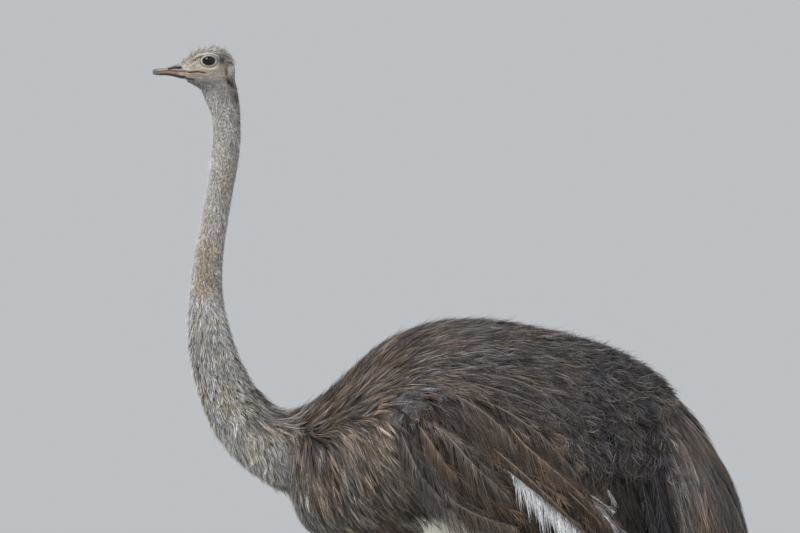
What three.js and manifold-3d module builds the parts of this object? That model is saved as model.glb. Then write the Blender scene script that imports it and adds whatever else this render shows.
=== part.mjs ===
// A life-size female ostrich, standing with her head high, as a set of separate closed solids.
// Millimetres, +Z up, beak towards -X. The origin is on the floor, under the middle of the bird.
import * as THREE from "three";
import { mergeVertices } from "three/addons/utils/BufferGeometryUtils.js";
import Module from "manifold-3d";

const wasm = await Module();
wasm.setup();

// Driving sizes.
const GAP = 0.3; // between two pieces that touch
const ROOM = 1.2; // how much larger a curved piece's room is than the piece
const REACH = 5000; // larger than the bird, for the boxes that cut it
const HEAD_TOP = 1845;
const BACK_TOP = 1158;
const BILL_TIP_X = -750;
const NECK_BASE_X = -405; // where the neck leaves the breast
const TAIL_ROOT_X = 495; // where the tail leaves the rump
const ANKLE_Z = 462;
const FOOT_TOP_Z = 62;
const FEET_APART = 200;
const STRIDE = 100; // how far the left foot stands before the right one
const EYE_RADIUS = 20;

const FINISHES = {
  plumage: { color: 0x5b4c42, roughness: 0.95, metalness: 0 },
  down: { color: 0xb3aba0, roughness: 0.95, metalness: 0 },
  skin: { color: 0x9a8f84, roughness: 0.8, metalness: 0 },
  bill: { color: 0xa88f7c, roughness: 0.5, metalness: 0 },
  eye: { color: 0x120d0a, roughness: 0.08, metalness: 0 },
  scales: { color: 0x8d8173, roughness: 0.7, metalness: 0 },
  claw: { color: 0x4a4038, roughness: 0.45, metalness: 0 },
};

// ---- Solids ----

function solidOf(geometry) {
  const bare = geometry.clone();
  bare.deleteAttribute("normal");
  bare.deleteAttribute("uv");
  const merged = mergeVertices(bare, 1e-4);
  return new wasm.Manifold(
    new wasm.Mesh({
      numProp: 3,
      vertProperties: new Float32Array(merged.attributes.position.array),
      triVerts: new Uint32Array(merged.index.array),
    }),
  );
}

function meshOf(name, solid, finish) {
  const { vertProperties, triVerts } = solid.getMesh();
  const geometry = new THREE.BufferGeometry();
  geometry.setAttribute("position", new THREE.BufferAttribute(vertProperties, 3));
  geometry.setIndex(new THREE.BufferAttribute(triVerts, 1));
  geometry.computeVertexNormals();
  const mesh = new THREE.Mesh(geometry, new THREE.MeshStandardMaterial(FINISHES[finish]));
  mesh.name = name;
  return mesh;
}

// Everything on the side of a plane that its normal points to, half a gap away from the plane.
function beyond(point, normal) {
  const direction = new THREE.Vector3(...normal).normalize();
  const box = new THREE.BoxGeometry(REACH, REACH, REACH);
  box.applyQuaternion(
    new THREE.Quaternion().setFromUnitVectors(new THREE.Vector3(0, 0, 1), direction),
  );
  const shift = direction.multiplyScalar(REACH / 2 + GAP / 2);
  box.translate(point[0] + shift.x, point[1] + shift.y, point[2] + shift.z);
  return solidOf(box);
}

const aboveZ = (z) => beyond([0, 0, z], [0, 0, 1]);
const belowZ = (z) => beyond([0, 0, z], [0, 0, -1]);
const behindX = (x) => beyond([x, 0, 0], [1, 0, 0]);
const beforeX = (x) => beyond([x, 0, 0], [-1, 0, 0]);

// One value that runs smoothly through the stations, at t from 0 to 1.
function smooth(stations, pick) {
  const curve = new THREE.CatmullRomCurve3(
    stations.map((s, i) => new THREE.Vector3(i, pick(s), 0)),
  );
  return (t) => curve.getPoint(t).y;
}

// A closed body from rings of points, with a point at each end.
function skinOver(rings, first, last) {
  const around = rings[0].length;
  const points = [first, ...rings.flat(), last];
  const index = [];
  for (let j = 0; j < around; j++) {
    const k = (j + 1) % around;
    index.push(0, 1 + k, 1 + j);
    for (let i = 0; i < rings.length - 1; i++) {
      const a = 1 + i * around;
      const b = a + around;
      index.push(a + j, a + k, b + j, a + k, b + k, b + j);
    }
    const end = 1 + (rings.length - 1) * around;
    index.push(points.length - 1, end + j, end + k);
  }
  const geometry = new THREE.BufferGeometry().setFromPoints(points);
  geometry.setIndex(index);
  const solid = solidOf(geometry);
  return solid.volume() > 0 ? solid : solidOf(geometry.setIndex(index.reverse()));
}

// A limb: ellipses across a smooth line. A station is [x, y, z, half depth, half width], and
// depth is measured in the plane of the bird's side view. bend curves each ellipse round the body.
function limb(stations, { rings, around, grow = 0, bend = 0 }) {
  const spine = new THREE.CatmullRomCurve3(
    stations.map(([x, y, z]) => new THREE.Vector3(x, y, z)),
  );
  const deep = smooth(stations, (s) => s[3]);
  const wide = smooth(stations, (s) => s[4]);
  const across = new THREE.Vector3(0, 1, 0);
  const made = [];
  for (let i = 0; i < rings; i++) {
    const t = i / (rings - 1);
    const centre = spine.getPoint(t);
    const along = spine.getTangent(t);
    const up = new THREE.Vector3().crossVectors(across, along).normalize();
    const side = new THREE.Vector3().crossVectors(along, up);
    const ring = [];
    for (let j = 0; j < around; j++) {
      const angle = (2 * Math.PI * j) / around;
      const u = Math.cos(angle) * (deep(t) + grow);
      const v = Math.sin(angle) * (wide(t) + grow) - bend * u * u * Math.sign(centre.y);
      ring.push(centre.clone().addScaledVector(up, u).addScaledVector(side, v));
    }
    made.push(ring);
  }
  const tip = (t, sign) =>
    spine.getPoint(t).addScaledVector(spine.getTangent(t), sign * (0.45 * deep(t) + grow));
  return skinOver(made, tip(0, -1), tip(1, 1));
}

// A body along X: each ring stands upright. A station is [x, top z, bottom z, half width].
function barrel(stations, { rings, around, waist = 0.5, square = 1 }) {
  const at = [0, 1, 2, 3].map((k) => smooth(stations, (s) => s[k]));
  const made = [];
  for (let i = 0; i < rings; i++) {
    const [x, top, bottom, half] = at.map((value) => value(i / (rings - 1)));
    const middle = bottom + (top - bottom) * waist;
    const ring = [];
    for (let j = 0; j < around; j++) {
      const angle = (2 * Math.PI * j) / around;
      const [c, s] = [Math.cos(angle), Math.sin(angle)];
      const rise = Math.sign(c) * Math.abs(c) ** square;
      const z = middle + rise * (c > 0 ? top - middle : middle - bottom);
      ring.push(new THREE.Vector3(x, Math.sign(s) * Math.abs(s) ** square * half, z));
    }
    made.push(ring);
  }
  const end = (t) => {
    const [x, top, bottom] = at.map((value) => value(t));
    return new THREE.Vector3(x + (t ? 1 : -1) * 0.08 * (top - bottom), 0, (top + bottom) / 2);
  };
  return skinOver(made, end(0), end(1));
}

const join = (...solids) => solids.reduce((a, b) => a.add(b));
const keep = (solid, ...halves) => halves.reduce((a, b) => a.intersect(b), solid);
const cut = (solid, ...tools) => tools.reduce((a, b) => a.subtract(b), solid);
const largest = (solid) => solid.decompose().reduce((a, b) => (a.volume() > b.volume() ? a : b));

// ---- Head, bill and eyes ----

const EYE = { x: -607, y: 25, z: 1810 };
const GAPE = { x: -612, z: 1780, slope: -0.018 }; // the mouth's line, which rises to the tip
const BILL_ROOT_X = -672;
const NECK_TOP_Z = 1742;

const skull = barrel(
  [
    [-543, HEAD_TOP - 56, 1752, 14],
    [-552, HEAD_TOP - 30, 1742, 28],
    [-572, HEAD_TOP - 7, 1736, 38],
    [-600, HEAD_TOP, 1732, 41],
    [-625, HEAD_TOP - 8, 1739, 39.5],
    [-648, HEAD_TOP - 22, 1752, 33],
    [-672, 1810, 1763, 27],
    [-698, 1797, 1770, 24],
    [-724, 1791.5, 1774, 20],
    [-741, 1788, 1776, 14],
    [BILL_TIP_X + 1.5, 1784.5, 1779, 6],
  ],
  { rings: 25, around: 18, waist: 0.46 },
);

function eyeball(grow) {
  const geometry = new THREE.SphereGeometry(EYE_RADIUS + grow, 14, 9);
  return (side) => solidOf(geometry.clone().translate(EYE.x, side * EYE.y, EYE.z));
}

// A shallow dish in front of the ear's opening.
function earHole(side) {
  const dish = new THREE.SphereGeometry(9, 10, 8).scale(1, 0.7, 1.35);
  return solidOf(dish.translate(-560, side * 37, 1783));
}

// ---- Neck ----

const neckLine = [
  [-576, 0, 1772, 31, 27],
  [-580, 0, 1737, 45, 34],
  [-570, 0, 1705, 39, 32],
  [-563, 0, 1645, 35, 30],
  [-566, 0, 1580, 35, 29.5],
  [-584, 0, 1462, 32.5, 29],
  [-608, 0, 1325, 36, 31],
  [-615, 0, 1212, 43, 37],
  [-606, 0, 1118, 55, 45],
  [-580, 0, 1020, 64, 53],
  [-535, 0, 930, 75, 61],
  [-478, 0, 866, 78, 70],
  [-415, 0, 838, 95, 86],
  [-350, 0, 820, 105, 100],
];
const NECK_CUTS = { upper: 1500, middle: 1240 };
const neck = limb(neckLine, { rings: 36, around: 14 });

// ---- Trunk and tail ----

const torso = barrel(
  [
    [-402, 900, 760, 60],
    [-388, 930, 675, 100],
    [-350, 950, 628, 140],
    [-290, 992, 604, 172],
    [-195, 1086, 600, 204],
    [-100, 1138, 614, 222],
    [0, BACK_TOP, 632, 231],
    [100, BACK_TOP, 648, 231],
    [200, 1142, 660, 225],
    [300, 1117, 674, 211],
    [395, 1089, 690, 187],
    [475, 1050, 714, 158],
    [535, 1000, 750, 122],
    [575, 945, 798, 78],
    [592, 905, 838, 40],
  ],
  { rings: 25, around: 22, waist: 0.45, square: 0.92 },
);
const tailLine = [
  [450, 0, 900, 135, 105],
  [520, 0, 848, 114, 114],
  [573, 0, 775, 103, 120],
  [609, 0, 690, 109, 124],
  [629, 0, 610, 112, 122],
  [650, 0, 549, 103, 108],
  [660, 0, 498, 79, 82],
  [666, 0, 470, 44, 46],
];
const tail = limb(tailLine, { rings: 14, around: 16 });

// ---- Wings ----

function wing(side, grow = 0) {
  const line = [
    [-172, 196, 965, 26, 12],
    [-125, 210, 920, 92, 26],
    [-10, 219, 862, 152, 33],
    [140, 213, 800, 168, 33],
    [295, 186, 705, 136, 28],
    [405, 158, 616, 82, 20],
    [452, 142, 566, 46, 14],
    [480, 134, 530, 13, 7],
  ].map(([x, y, z, ...sizes]) => [x, side * y, z, ...sizes]);
  return limb(line, { rings: 13, around: 12, grow, bend: 0.0013 });
}

// ---- Legs ----

// The left leg's line, from the knee down to the foot. The right leg stands a stride behind it.
const FOOT_X = 82;
const strideOf = (side) => (side > 0 ? STRIDE : 0);
function legLine(side) {
  const back = strideOf(side);
  const y = FEET_APART / 2;
  return [
    [-48 + 0.15 * back, 102, 815, 96, 56],
    [-12 + 0.35 * back, 105, 725, 114, 70],
    [33 + 0.55 * back, 106, 640, 101, 66],
    [79 + 0.8 * back, 103, 564, 70, 50],
    [115 + 0.95 * back, y, 506, 44, 36],
    [136 + back, y, ANKLE_Z, 37, 31],
    [132 + back, y, 420, 30, 26],
    [123 + back, y, 355, 23, 20],
    [105 + back, y, 230, 21.5, 19],
    [FOOT_X + 8 + back, y, 118, 25, 23],
    [FOOT_X + 2 + back, y, 72, 32, 30],
    [FOOT_X - 2 + back, y, 40, 32, 30],
  ].map(([x, y_, ...rest]) => [x, side * y_, ...rest]);
}

// A toe: pads along a line on the floor. length runs from the foot's joint to the toe's tip.
function toe(side, { length, wide, high, splay, pads, grow = 0 }) {
  const [x0, y0] = [FOOT_X + strideOf(side), (side * FEET_APART) / 2];
  const line = [];
  const steps = 8;
  for (let i = 0; i <= steps; i++) {
    const t = i / steps;
    const reach = -16 + t * (length + 16);
    const taper = 1 - 0.34 * t ** 2;
    const pad = 1 + 0.07 * Math.cos(2 * Math.PI * pads * t);
    const round = i === 0 || i === steps ? 0.72 : 1;
    const height = high * taper * (1 - 0.25 * t) * round;
    line.push([
      x0 - reach * Math.cos(splay),
      y0 + side * reach * Math.sin(splay),
      height * 0.46 * pad,
      height * 0.54 * pad,
      (wide / 2) * taper * pad * round,
    ]);
  }
  return limb(line, { rings: 11, around: 10, grow });
}

const INNER_TOE = { length: 142, wide: 58, high: 56, splay: -0.04, pads: 3 };
const OUTER_TOE = { length: 104, wide: 38, high: 42, splay: 0.5, pads: 2 };

function claw(side) {
  const [x0, y0] = [FOOT_X - INNER_TOE.length + strideOf(side), (side * FEET_APART) / 2];
  const drift = Math.tan(INNER_TOE.splay) * INNER_TOE.length * side;
  const line = [
    [x0 + 14, y0 + drift, 19, 13, 15],
    [x0 - 6, y0 + drift, 18, 12, 13.5],
    [x0 - 26, y0 + drift, 13.5, 9, 10],
    [x0 - 40, y0 + drift, 8, 4.5, 5],
  ];
  return limb(line, { rings: 6, around: 8 });
}

// ---- The bird ----

const bird = new THREE.Group();
const add = (name, solid, finish) => bird.add(meshOf(name, solid, finish));

// Head and neck are one body, parted by thin cuts.
const eyeSockets = [-1, 1].map(eyeball(GAP));
const mouthUp = [GAPE.slope, 0, 1];
const mouthDown = [-GAPE.slope, 0, -1];
const mouth = [GAPE.x, 0, GAPE.z];
const front = keep(skull, beforeX(BILL_ROOT_X));
const headAndNeck = join(skull, neck);
const head = cut(
  keep(headAndNeck, aboveZ(NECK_TOP_Z), behindX(BILL_ROOT_X)),
  ...eyeSockets,
  earHole(-1),
  earHole(1),
);
add("head", head, "skin");
add("bill_upper", keep(front, beyond(mouth, mouthUp)), "bill");
add("bill_lower", keep(front, beyond(mouth, mouthDown)), "bill");
[-1, 1].forEach((side) => add(side < 0 ? "eye_left" : "eye_right", eyeball(0)(side), "eye"));
add("neck_upper", keep(headAndNeck, belowZ(NECK_TOP_Z), aboveZ(NECK_CUTS.upper)), "down");
add("neck_middle", keep(neck, belowZ(NECK_CUTS.upper), aboveZ(NECK_CUTS.middle)), "down");
add("neck_lower", keep(neck, belowZ(NECK_CUTS.middle), beforeX(NECK_BASE_X)), "down");

// The trunk holds the roots of the neck, tail, wings and legs, and meets each with a thin gap.
const body = join(torso, keep(neck, behindX(NECK_BASE_X)), tail);
const legs = [-1, 1].map((side) => limb(legLine(side), { rings: 22, around: 12 }));
const legRooms = [-1, 1].map((side) => limb(legLine(side), { rings: 22, around: 12, grow: ROOM }));
const wingRooms = [-1, 1].map((side) => wing(side, ROOM));
const trunk = keep(body, behindX(NECK_BASE_X), beforeX(TAIL_ROOT_X));
add("trunk", cut(trunk, ...wingRooms, ...legRooms), "plumage");
add("tail", cut(keep(body, behindX(TAIL_ROOT_X)), ...wingRooms), "plumage");

[-1, 1].forEach((side, i) => {
  const name = (part) => part + (side < 0 ? "_left" : "_right");
  const aboveFloor = aboveZ(-GAP / 2);
  const belowShank = belowZ(FOOT_TOP_Z);
  const toeTipX = FOOT_X - INNER_TOE.length + strideOf(side);
  const nail = keep(claw(side), aboveFloor);
  const inner = keep(join(legs[i], toe(side, INNER_TOE)), aboveFloor, belowShank);
  const innerRoom = toe(side, { ...INNER_TOE, grow: ROOM });
  const outer = keep(toe(side, OUTER_TOE), aboveFloor, belowShank);
  add(name("wing"), wing(side), "plumage");
  add(name("thigh"), cut(keep(legs[i], aboveZ(ANKLE_Z)), wingRooms[i]), "skin");
  add(name("shank"), keep(legs[i], belowZ(ANKLE_Z), aboveZ(FOOT_TOP_Z)), "scales");
  add(name("toe_inner"), cut(inner, nail), "scales");
  add(name("toe_outer"), largest(cut(outer, innerRoom, legRooms[i])), "scales");
  add(name("claw"), keep(nail, beforeX(toeTipX)), "claw");
});

export default bird;
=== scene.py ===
# The looks of a life-size female ostrich: one skin over her flesh, then bill, eyes, claws and coat.
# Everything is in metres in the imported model's frame: +Z up, bill towards -X, left side towards -Y.
import math

import bmesh
import bpy
import numpy as np
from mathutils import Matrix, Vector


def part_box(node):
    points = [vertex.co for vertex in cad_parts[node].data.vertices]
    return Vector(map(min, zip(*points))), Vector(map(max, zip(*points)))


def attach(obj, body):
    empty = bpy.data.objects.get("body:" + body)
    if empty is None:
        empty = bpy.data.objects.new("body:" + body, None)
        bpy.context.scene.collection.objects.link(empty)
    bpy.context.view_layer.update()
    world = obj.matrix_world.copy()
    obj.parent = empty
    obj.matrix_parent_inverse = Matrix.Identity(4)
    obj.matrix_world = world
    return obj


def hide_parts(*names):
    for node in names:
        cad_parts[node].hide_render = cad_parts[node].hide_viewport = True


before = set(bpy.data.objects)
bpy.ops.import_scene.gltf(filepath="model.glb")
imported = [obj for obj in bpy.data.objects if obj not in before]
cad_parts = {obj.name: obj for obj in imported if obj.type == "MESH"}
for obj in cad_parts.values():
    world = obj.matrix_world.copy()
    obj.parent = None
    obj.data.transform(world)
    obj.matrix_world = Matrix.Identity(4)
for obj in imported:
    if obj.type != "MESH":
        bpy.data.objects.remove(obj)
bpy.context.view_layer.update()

import openvdb
from mathutils import Vector
from mathutils.bvhtree import BVHTree

# ---- Small helpers ----


def unit(v):
    return v / np.maximum(np.linalg.norm(v, axis=-1, keepdims=True), 1e-12)


def ramp(x, start, end):
    """0 at start, 1 at end, smooth between; start may be the greater."""
    t = np.clip((x - start) / (end - start), 0, 1)
    return t * t * (3 - 2 * t)


def bump(x, centre, width):
    return np.exp(-(((x - centre) / width) ** 2))


def within(value, low, high, fade=0.03):
    """1 between low and high, 0 a fade beyond them."""
    return ramp(value, low - fade, low) * ramp(value, high + fade, high)


def folded(p):
    """x, y and z of some points, the right side folded onto the left."""
    return p[:, 0], np.abs(p[:, 1]), p[:, 2]


def spot(p, x, z, wide, high=None):
    """1 at a place in the side view, fading all round it."""
    return bump(p[:, 0], x, wide) * bump(p[:, 2], z, high or wide)


def line_distance(p, line):
    """Distance in the side view from a line through some (x, z) points."""
    x, z = p[:, 0], p[:, 2]
    best = np.inf
    for (x0, z0), (x1, z1) in zip(line, line[1:]):
        t = ((x - x0) * (x1 - x0) + (z - z0) * (z1 - z0)) / ((x1 - x0) ** 2 + (z1 - z0) ** 2)
        t = np.clip(t, 0, 1)
        best = np.minimum(best, np.hypot(x - x0 - t * (x1 - x0), z - z0 - t * (z1 - z0)))
    return best


def near(p, line, width):
    return bump(line_distance(p, line), 0, width)


def numbers(items, name, kind, width):
    """One property of a mesh's items, as rows of an array."""
    out = np.empty(len(items) * width, kind)
    items.foreach_get(name, out)
    return out.reshape(-1, width)


def mesh_arrays(obj):
    """Vertices and triangles of an object, with doubled vertices merged."""
    obj.data.calc_loop_triangles()
    co = numbers(obj.data.vertices, "co", np.float32, 3)
    tri = numbers(obj.data.loop_triangles, "vertices", np.int32, 3)
    key = np.round(co * 1e5).astype(np.int64)
    _, first, place = np.unique(key, axis=0, return_index=True, return_inverse=True)
    tri = place.reshape(-1)[tri]
    return co[first].astype(float), tri[(tri != np.roll(tri, 1, 1)).all(1)]


def vertex_normals(points, tris):
    a, b, c = (points[tris[:, k]] for k in range(3))
    face = np.cross(b - a, c - a)
    out = np.zeros_like(points)
    for k in range(3):
        np.add.at(out, tris[:, k], face)
    return unit(out)


def join_mesh(parts):
    """One array of points and a list of face arrays from several."""
    points, faces, start = [], [], 0
    for p, fs in parts:
        points.append(p)
        faces += [f + start for f in fs]
        start += len(p)
    return np.concatenate(points), faces


def new_object(name, points, faces, smooth=True):
    """A mesh object from points and a list of face arrays, each of one face size."""
    me = bpy.data.meshes.new(name)
    me.vertices.add(len(points))
    me.vertices.foreach_set("co", np.asarray(points, np.float32).ravel())
    corners = np.concatenate([f.ravel() for f in faces]).astype(np.int32)
    sizes = np.concatenate([np.full(len(f), f.shape[1]) for f in faces])
    starts = np.concatenate([[0], np.cumsum(sizes)[:-1]]).astype(np.int32)
    me.loops.add(len(corners))
    me.loops.foreach_set("vertex_index", corners)
    me.polygons.add(len(sizes))
    me.polygons.foreach_set("loop_start", starts)
    me.polygons.foreach_set("use_smooth", np.full(len(sizes), smooth))
    me.update(calc_edges=True)
    obj = bpy.data.objects.new(name, me)
    bpy.context.scene.collection.objects.link(obj)
    return obj


def set_attribute(obj, name, values):
    """Stores a number, a vector or a colour for each point."""
    values = np.asarray(values, np.float32)
    kind, field = ("FLOAT", "value") if values.ndim == 1 else ("FLOAT_VECTOR", "vector")
    obj.data.attributes.new(name, kind, "POINT").data.foreach_set(field, values.ravel())


def set_tint(obj, colours):
    """Stores the colour of each point."""
    colours = np.column_stack([colours, np.ones(len(colours))]).astype(np.float32)
    obj.data.attributes.new("tint", "FLOAT_COLOR", "POINT").data.foreach_set("color", colours.ravel())


# ---- The bird's shape as a distance field ----


class Field:
    """Signed distance from a solid on a regular grid, negative inside."""

    def __init__(self, voxel, band, points, faces, grid_of=None):
        self.voxel, self.band = voxel, band
        if grid_of:
            self.low, size = grid_of.low, grid_of.values.shape
        else:
            pad = band + 2
            self.low = np.floor(points.min(0) / voxel).astype(int) - pad
            size = np.ceil(points.max(0) / voxel).astype(int) + pad - self.low
        kind = "quads" if faces.shape[1] == 4 else "triangles"
        grid = openvdb.FloatGrid.createLevelSetFromPolygons(
            points.astype(np.float32), **{kind: faces.astype(np.uint32)}, halfWidth=band,
            transform=openvdb.createLinearTransform(voxelSize=voxel))
        self.values = np.zeros(size, np.float32)
        grid.copyToArray(self.values, ijk=tuple(self.low.tolist()))

    def soften(self, times):
        """Rounds every edge by blurring the distances."""
        for _ in range(times):
            for axis in range(3):
                v = np.moveaxis(self.values, axis, 0)
                v[1:-1] = 0.25 * v[:-2] + 0.5 * v[1:-1] + 0.25 * v[2:]
        return self

    def surface(self, values):
        """Points and faces of the surface where values on this grid are 0."""
        grid = openvdb.FloatGrid(self.voxel * self.band)
        grid.transform = openvdb.createLinearTransform(voxelSize=self.voxel)
        grid.copyFromArray(np.ascontiguousarray(values, np.float32), ijk=tuple(self.low.tolist()))
        points, *faces = grid.convertToPolygons(0.0, 0.0)
        return points.astype(float), [f for f in faces if len(f)]

    def at(self, p):
        """The distances at points, blended from the grid's."""
        g = p / self.voxel - self.low
        i = np.clip(np.floor(g).astype(int), 0, np.array(self.values.shape) - 2)
        f = np.clip(g - i, 0, 1)
        x, y, z = np.moveaxis(i, -1, 0)
        v = [self.values[x + a, y + b, z + c] for a, b, c in np.ndindex(2, 2, 2)]
        for k in range(3):
            half = len(v) // 2
            v = [low * (1 - f[..., k]) + high * f[..., k] for low, high in zip(v[:half], v[half:])]
        return v[0]

    def slope(self, p):
        """The outward direction at each point."""
        return unit(np.stack([self.at(p + step) - self.at(p - step) for step in np.eye(3) * self.voxel], -1))


BILL = ["bill_upper", "bill_lower"]
CLAWS = ["claw_left", "claw_right"]
EYES = ["eye_left", "eye_right"]
FLESH = [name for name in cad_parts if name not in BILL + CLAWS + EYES]
SEAM = 0.0006  # more than half the gap between two nodes


def flesh_of(*kinds):
    return [name for name in FLESH if name.split("_")[0] in kinds]


def grown(name):
    """A node's points, out by the seam, and its faces."""
    points, tris = mesh_arrays(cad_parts[name])
    return points + vertex_normals(points, tris) * SEAM, [tris]


def union_of(names):
    points, tris = join_mesh(map(grown, names))
    return points, np.concatenate(tris)


BODY_VOXEL = 0.006
hull = Field(BODY_VOXEL, 4, *union_of(FLESH + BILL + EYES)).soften(2)
outer_points, (outer_quads,) = hull.surface(hull.values)
outer = Field(BODY_VOXEL, 9, outer_points, outer_quads)
leg_field = Field(BODY_VOXEL, 5, *union_of(flesh_of("thigh", "shank", "toe")), grid_of=outer)
wing_field = Field(BODY_VOXEL, 5, *union_of(flesh_of("wing")), grid_of=outer)
foot_field = Field(0.003, 6, *union_of(flesh_of("toe", "shank") + CLAWS)).soften(3)
head_field = Field(0.002, 5, *union_of(["head", "neck_upper"] + EYES + BILL)).soften(10)

# ---- Landmarks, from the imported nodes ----


def node_box(name):
    return [np.array(corner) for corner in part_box(name)]


eye_low, eye_high = node_box("eye_right")
EYE = (eye_low + eye_high) / 2
EYE_R = (eye_high[1] - eye_low[1]) / 2
NECK_TOP = node_box("neck_upper")[1][2]
CHEST_X = node_box("trunk")[0][0]
RUMP_X = node_box("tail")[0][0]
FOOT_TOP_Z, ANKLE_Z = (corner[2] for corner in node_box("shank_left"))
CLAW_ROOT = [node_box(name)[1][0] for name in CLAWS]
FOOT_Y = -sum(node_box("claw_left"))[1] / 2
BARE_Z = 0.69  # below this the thighs are bare
SLENDER_X = -0.4  # only the neck and the head lie in front of this

# ---- Skin ----

NECK_DEPTH_Z = [0.80, 0.92, 1.10, 1.30, 1.50, 1.70, NECK_TOP]
NECK_DEPTH = [0.020, 0.016, 0.011, 0.006, 0.0035, 0.0025, 0.0006]
BODY_DEPTH = 0.026
BARE_DEPTH = 0.0004
# Where the face's skin dives under the horn: further forward above the nostril than below the gape.
SKIN_EDGE_Z = [1.755, 1.768, 1.780, 1.787, 1.795, 1.803, 1.812]
SKIN_EDGE_X = [-0.656, -0.660, -0.662, -0.668, -0.673, -0.684, -0.688]
SKIN_END = -0.702


def bareness(leg, z):
    """1 on the bare legs; leg is the distance from the nearest one."""
    return ramp(leg, 0.024, 0.004) * ramp(z, BARE_Z + 0.03, BARE_Z - 0.02)


def coat_depth(x, z, leg):
    """How deep the skin lies under the coat."""
    body = ramp(x, CHEST_X - 0.09, CHEST_X + 0.07)
    bare = bareness(leg, z)
    depth = np.interp(z, NECK_DEPTH_Z, NECK_DEPTH) * (1 - body) + BODY_DEPTH * body
    return depth * (1 - bare) + BARE_DEPTH * bare


def skin_dive(x, z):
    return 0.0034 * ramp(np.interp(z, SKIN_EDGE_Z, SKIN_EDGE_X) - x, -0.003, 0.013)


def edges_of(faces):
    pairs = [np.stack([f, np.roll(f, -1, 1)], -1).reshape(-1, 2) for f in faces]
    return np.unique(np.sort(np.concatenate(pairs), 1), axis=0)


def relax(points, edges, times, share):
    """Moves each point towards the middle of its neighbours."""
    a, b = edges.T
    n = len(points)
    count = np.maximum(np.bincount(edges.ravel(), minlength=n), 1)[:, None]
    share = np.broadcast_to(share, n)[:, None]
    for _ in range(times):
        total = [np.bincount(a, v[b], n) + np.bincount(b, v[a], n) for v in points.T]
        points = points + (np.stack(total, 1) / count - points) * share
    return points


def take_mesh(obj):
    """Points and faces of an object, which is then removed."""
    me = obj.data
    points = numbers(me.vertices, "co", np.float32, 3).astype(float)
    corners = numbers(me.loops, "vertex_index", np.int32, 1)[:, 0]
    sizes = numbers(me.polygons, "loop_total", np.int32, 1)[:, 0]
    starts = np.concatenate([[0], np.cumsum(sizes)[:-1]])
    faces = [corners[starts[sizes == n][:, None] + np.arange(n)] for n in np.unique(sizes)]
    bpy.data.objects.remove(obj)
    bpy.data.meshes.remove(me)
    return points, faces


def refine(points, faces, chosen, cuts):
    """Cuts the faces whose points are all chosen into smaller ones."""
    obj = new_object("refine", points, faces)
    bm = bmesh.new()
    bm.from_mesh(obj.data)
    edges = [e for e in bm.edges if chosen[e.verts[0].index] and chosen[e.verts[1].index]]
    bmesh.ops.subdivide_edges(bm, edges=edges, cuts=cuts, use_grid_fill=True)
    bmesh.ops.triangulate(bm, faces=[f for f in bm.faces if len(f.verts) > 4])
    bm.to_mesh(obj.data)
    bm.free()
    return take_mesh(obj)


def triangles(faces):
    return np.concatenate([f[:, [0, k, k + 1]] for f in faces for k in range(1, f.shape[1] - 1)])


# Lines and places on the side of the head, in the side view.
LORE_LINE = [(-0.651, 1.8085), (-0.637, 1.815), (-0.622, 1.8225)]
CHEEK_LINE = [(-0.650, 1.805), (-0.648, 1.799), (-0.641, 1.794)]
GAPE_LINE = [(-0.700, 1.7855), (-0.677, 1.7838), (-0.6545, 1.7808), (-0.634, 1.7828), (-0.610, 1.7785)]
EAR_LINE = [
    (-0.551, 1.8075), (-0.5605, 1.8063), (-0.5653, 1.7918), (-0.5638, 1.7725), (-0.559, 1.760),
    (-0.5495, 1.7505)]
JAW_FOLD = [(-0.695, 1.7695), (-0.655, 1.7625), (-0.62, 1.7605), (-0.59, 1.765)]
JAW_LINE = [(-0.705, 1.778), (-0.66, 1.773), (-0.622, 1.773)]
CHIN_LINE = [(-0.700, 1.7722), (-0.672, 1.7669), (-0.645, 1.7636)]  # the jaw's lower edge, with a painted shadow along it
BROW_LINE = [(-0.6775, 1.8085), (-0.655, 1.8172), (-0.634, 1.8262)]  # a pale ridge over the lore
NAPE_LINE = [(-0.5495, 1.7505), (-0.5450, 1.735), (-0.5420, 1.715)]  # dark behind the ear
EAR_X, EAR_Z = -0.5620, 1.780
PATCH_X, PATCH_Z = -0.5525, 1.7875  # the pale patch behind the ear


EYE_HALF_X, EYE_HALF_Z = 0.0155, 0.0115


def eye_reach(x, z):
    """1 on the outline of the eye's opening, in the side view."""
    return np.hypot((x - EYE[0]) / EYE_HALF_X, (z - EYE[2]) / EYE_HALF_Z)


def patch_reach(x, z):
    return np.hypot(x - PATCH_X, (z - PATCH_Z - 0.002) * 0.55)


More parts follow.
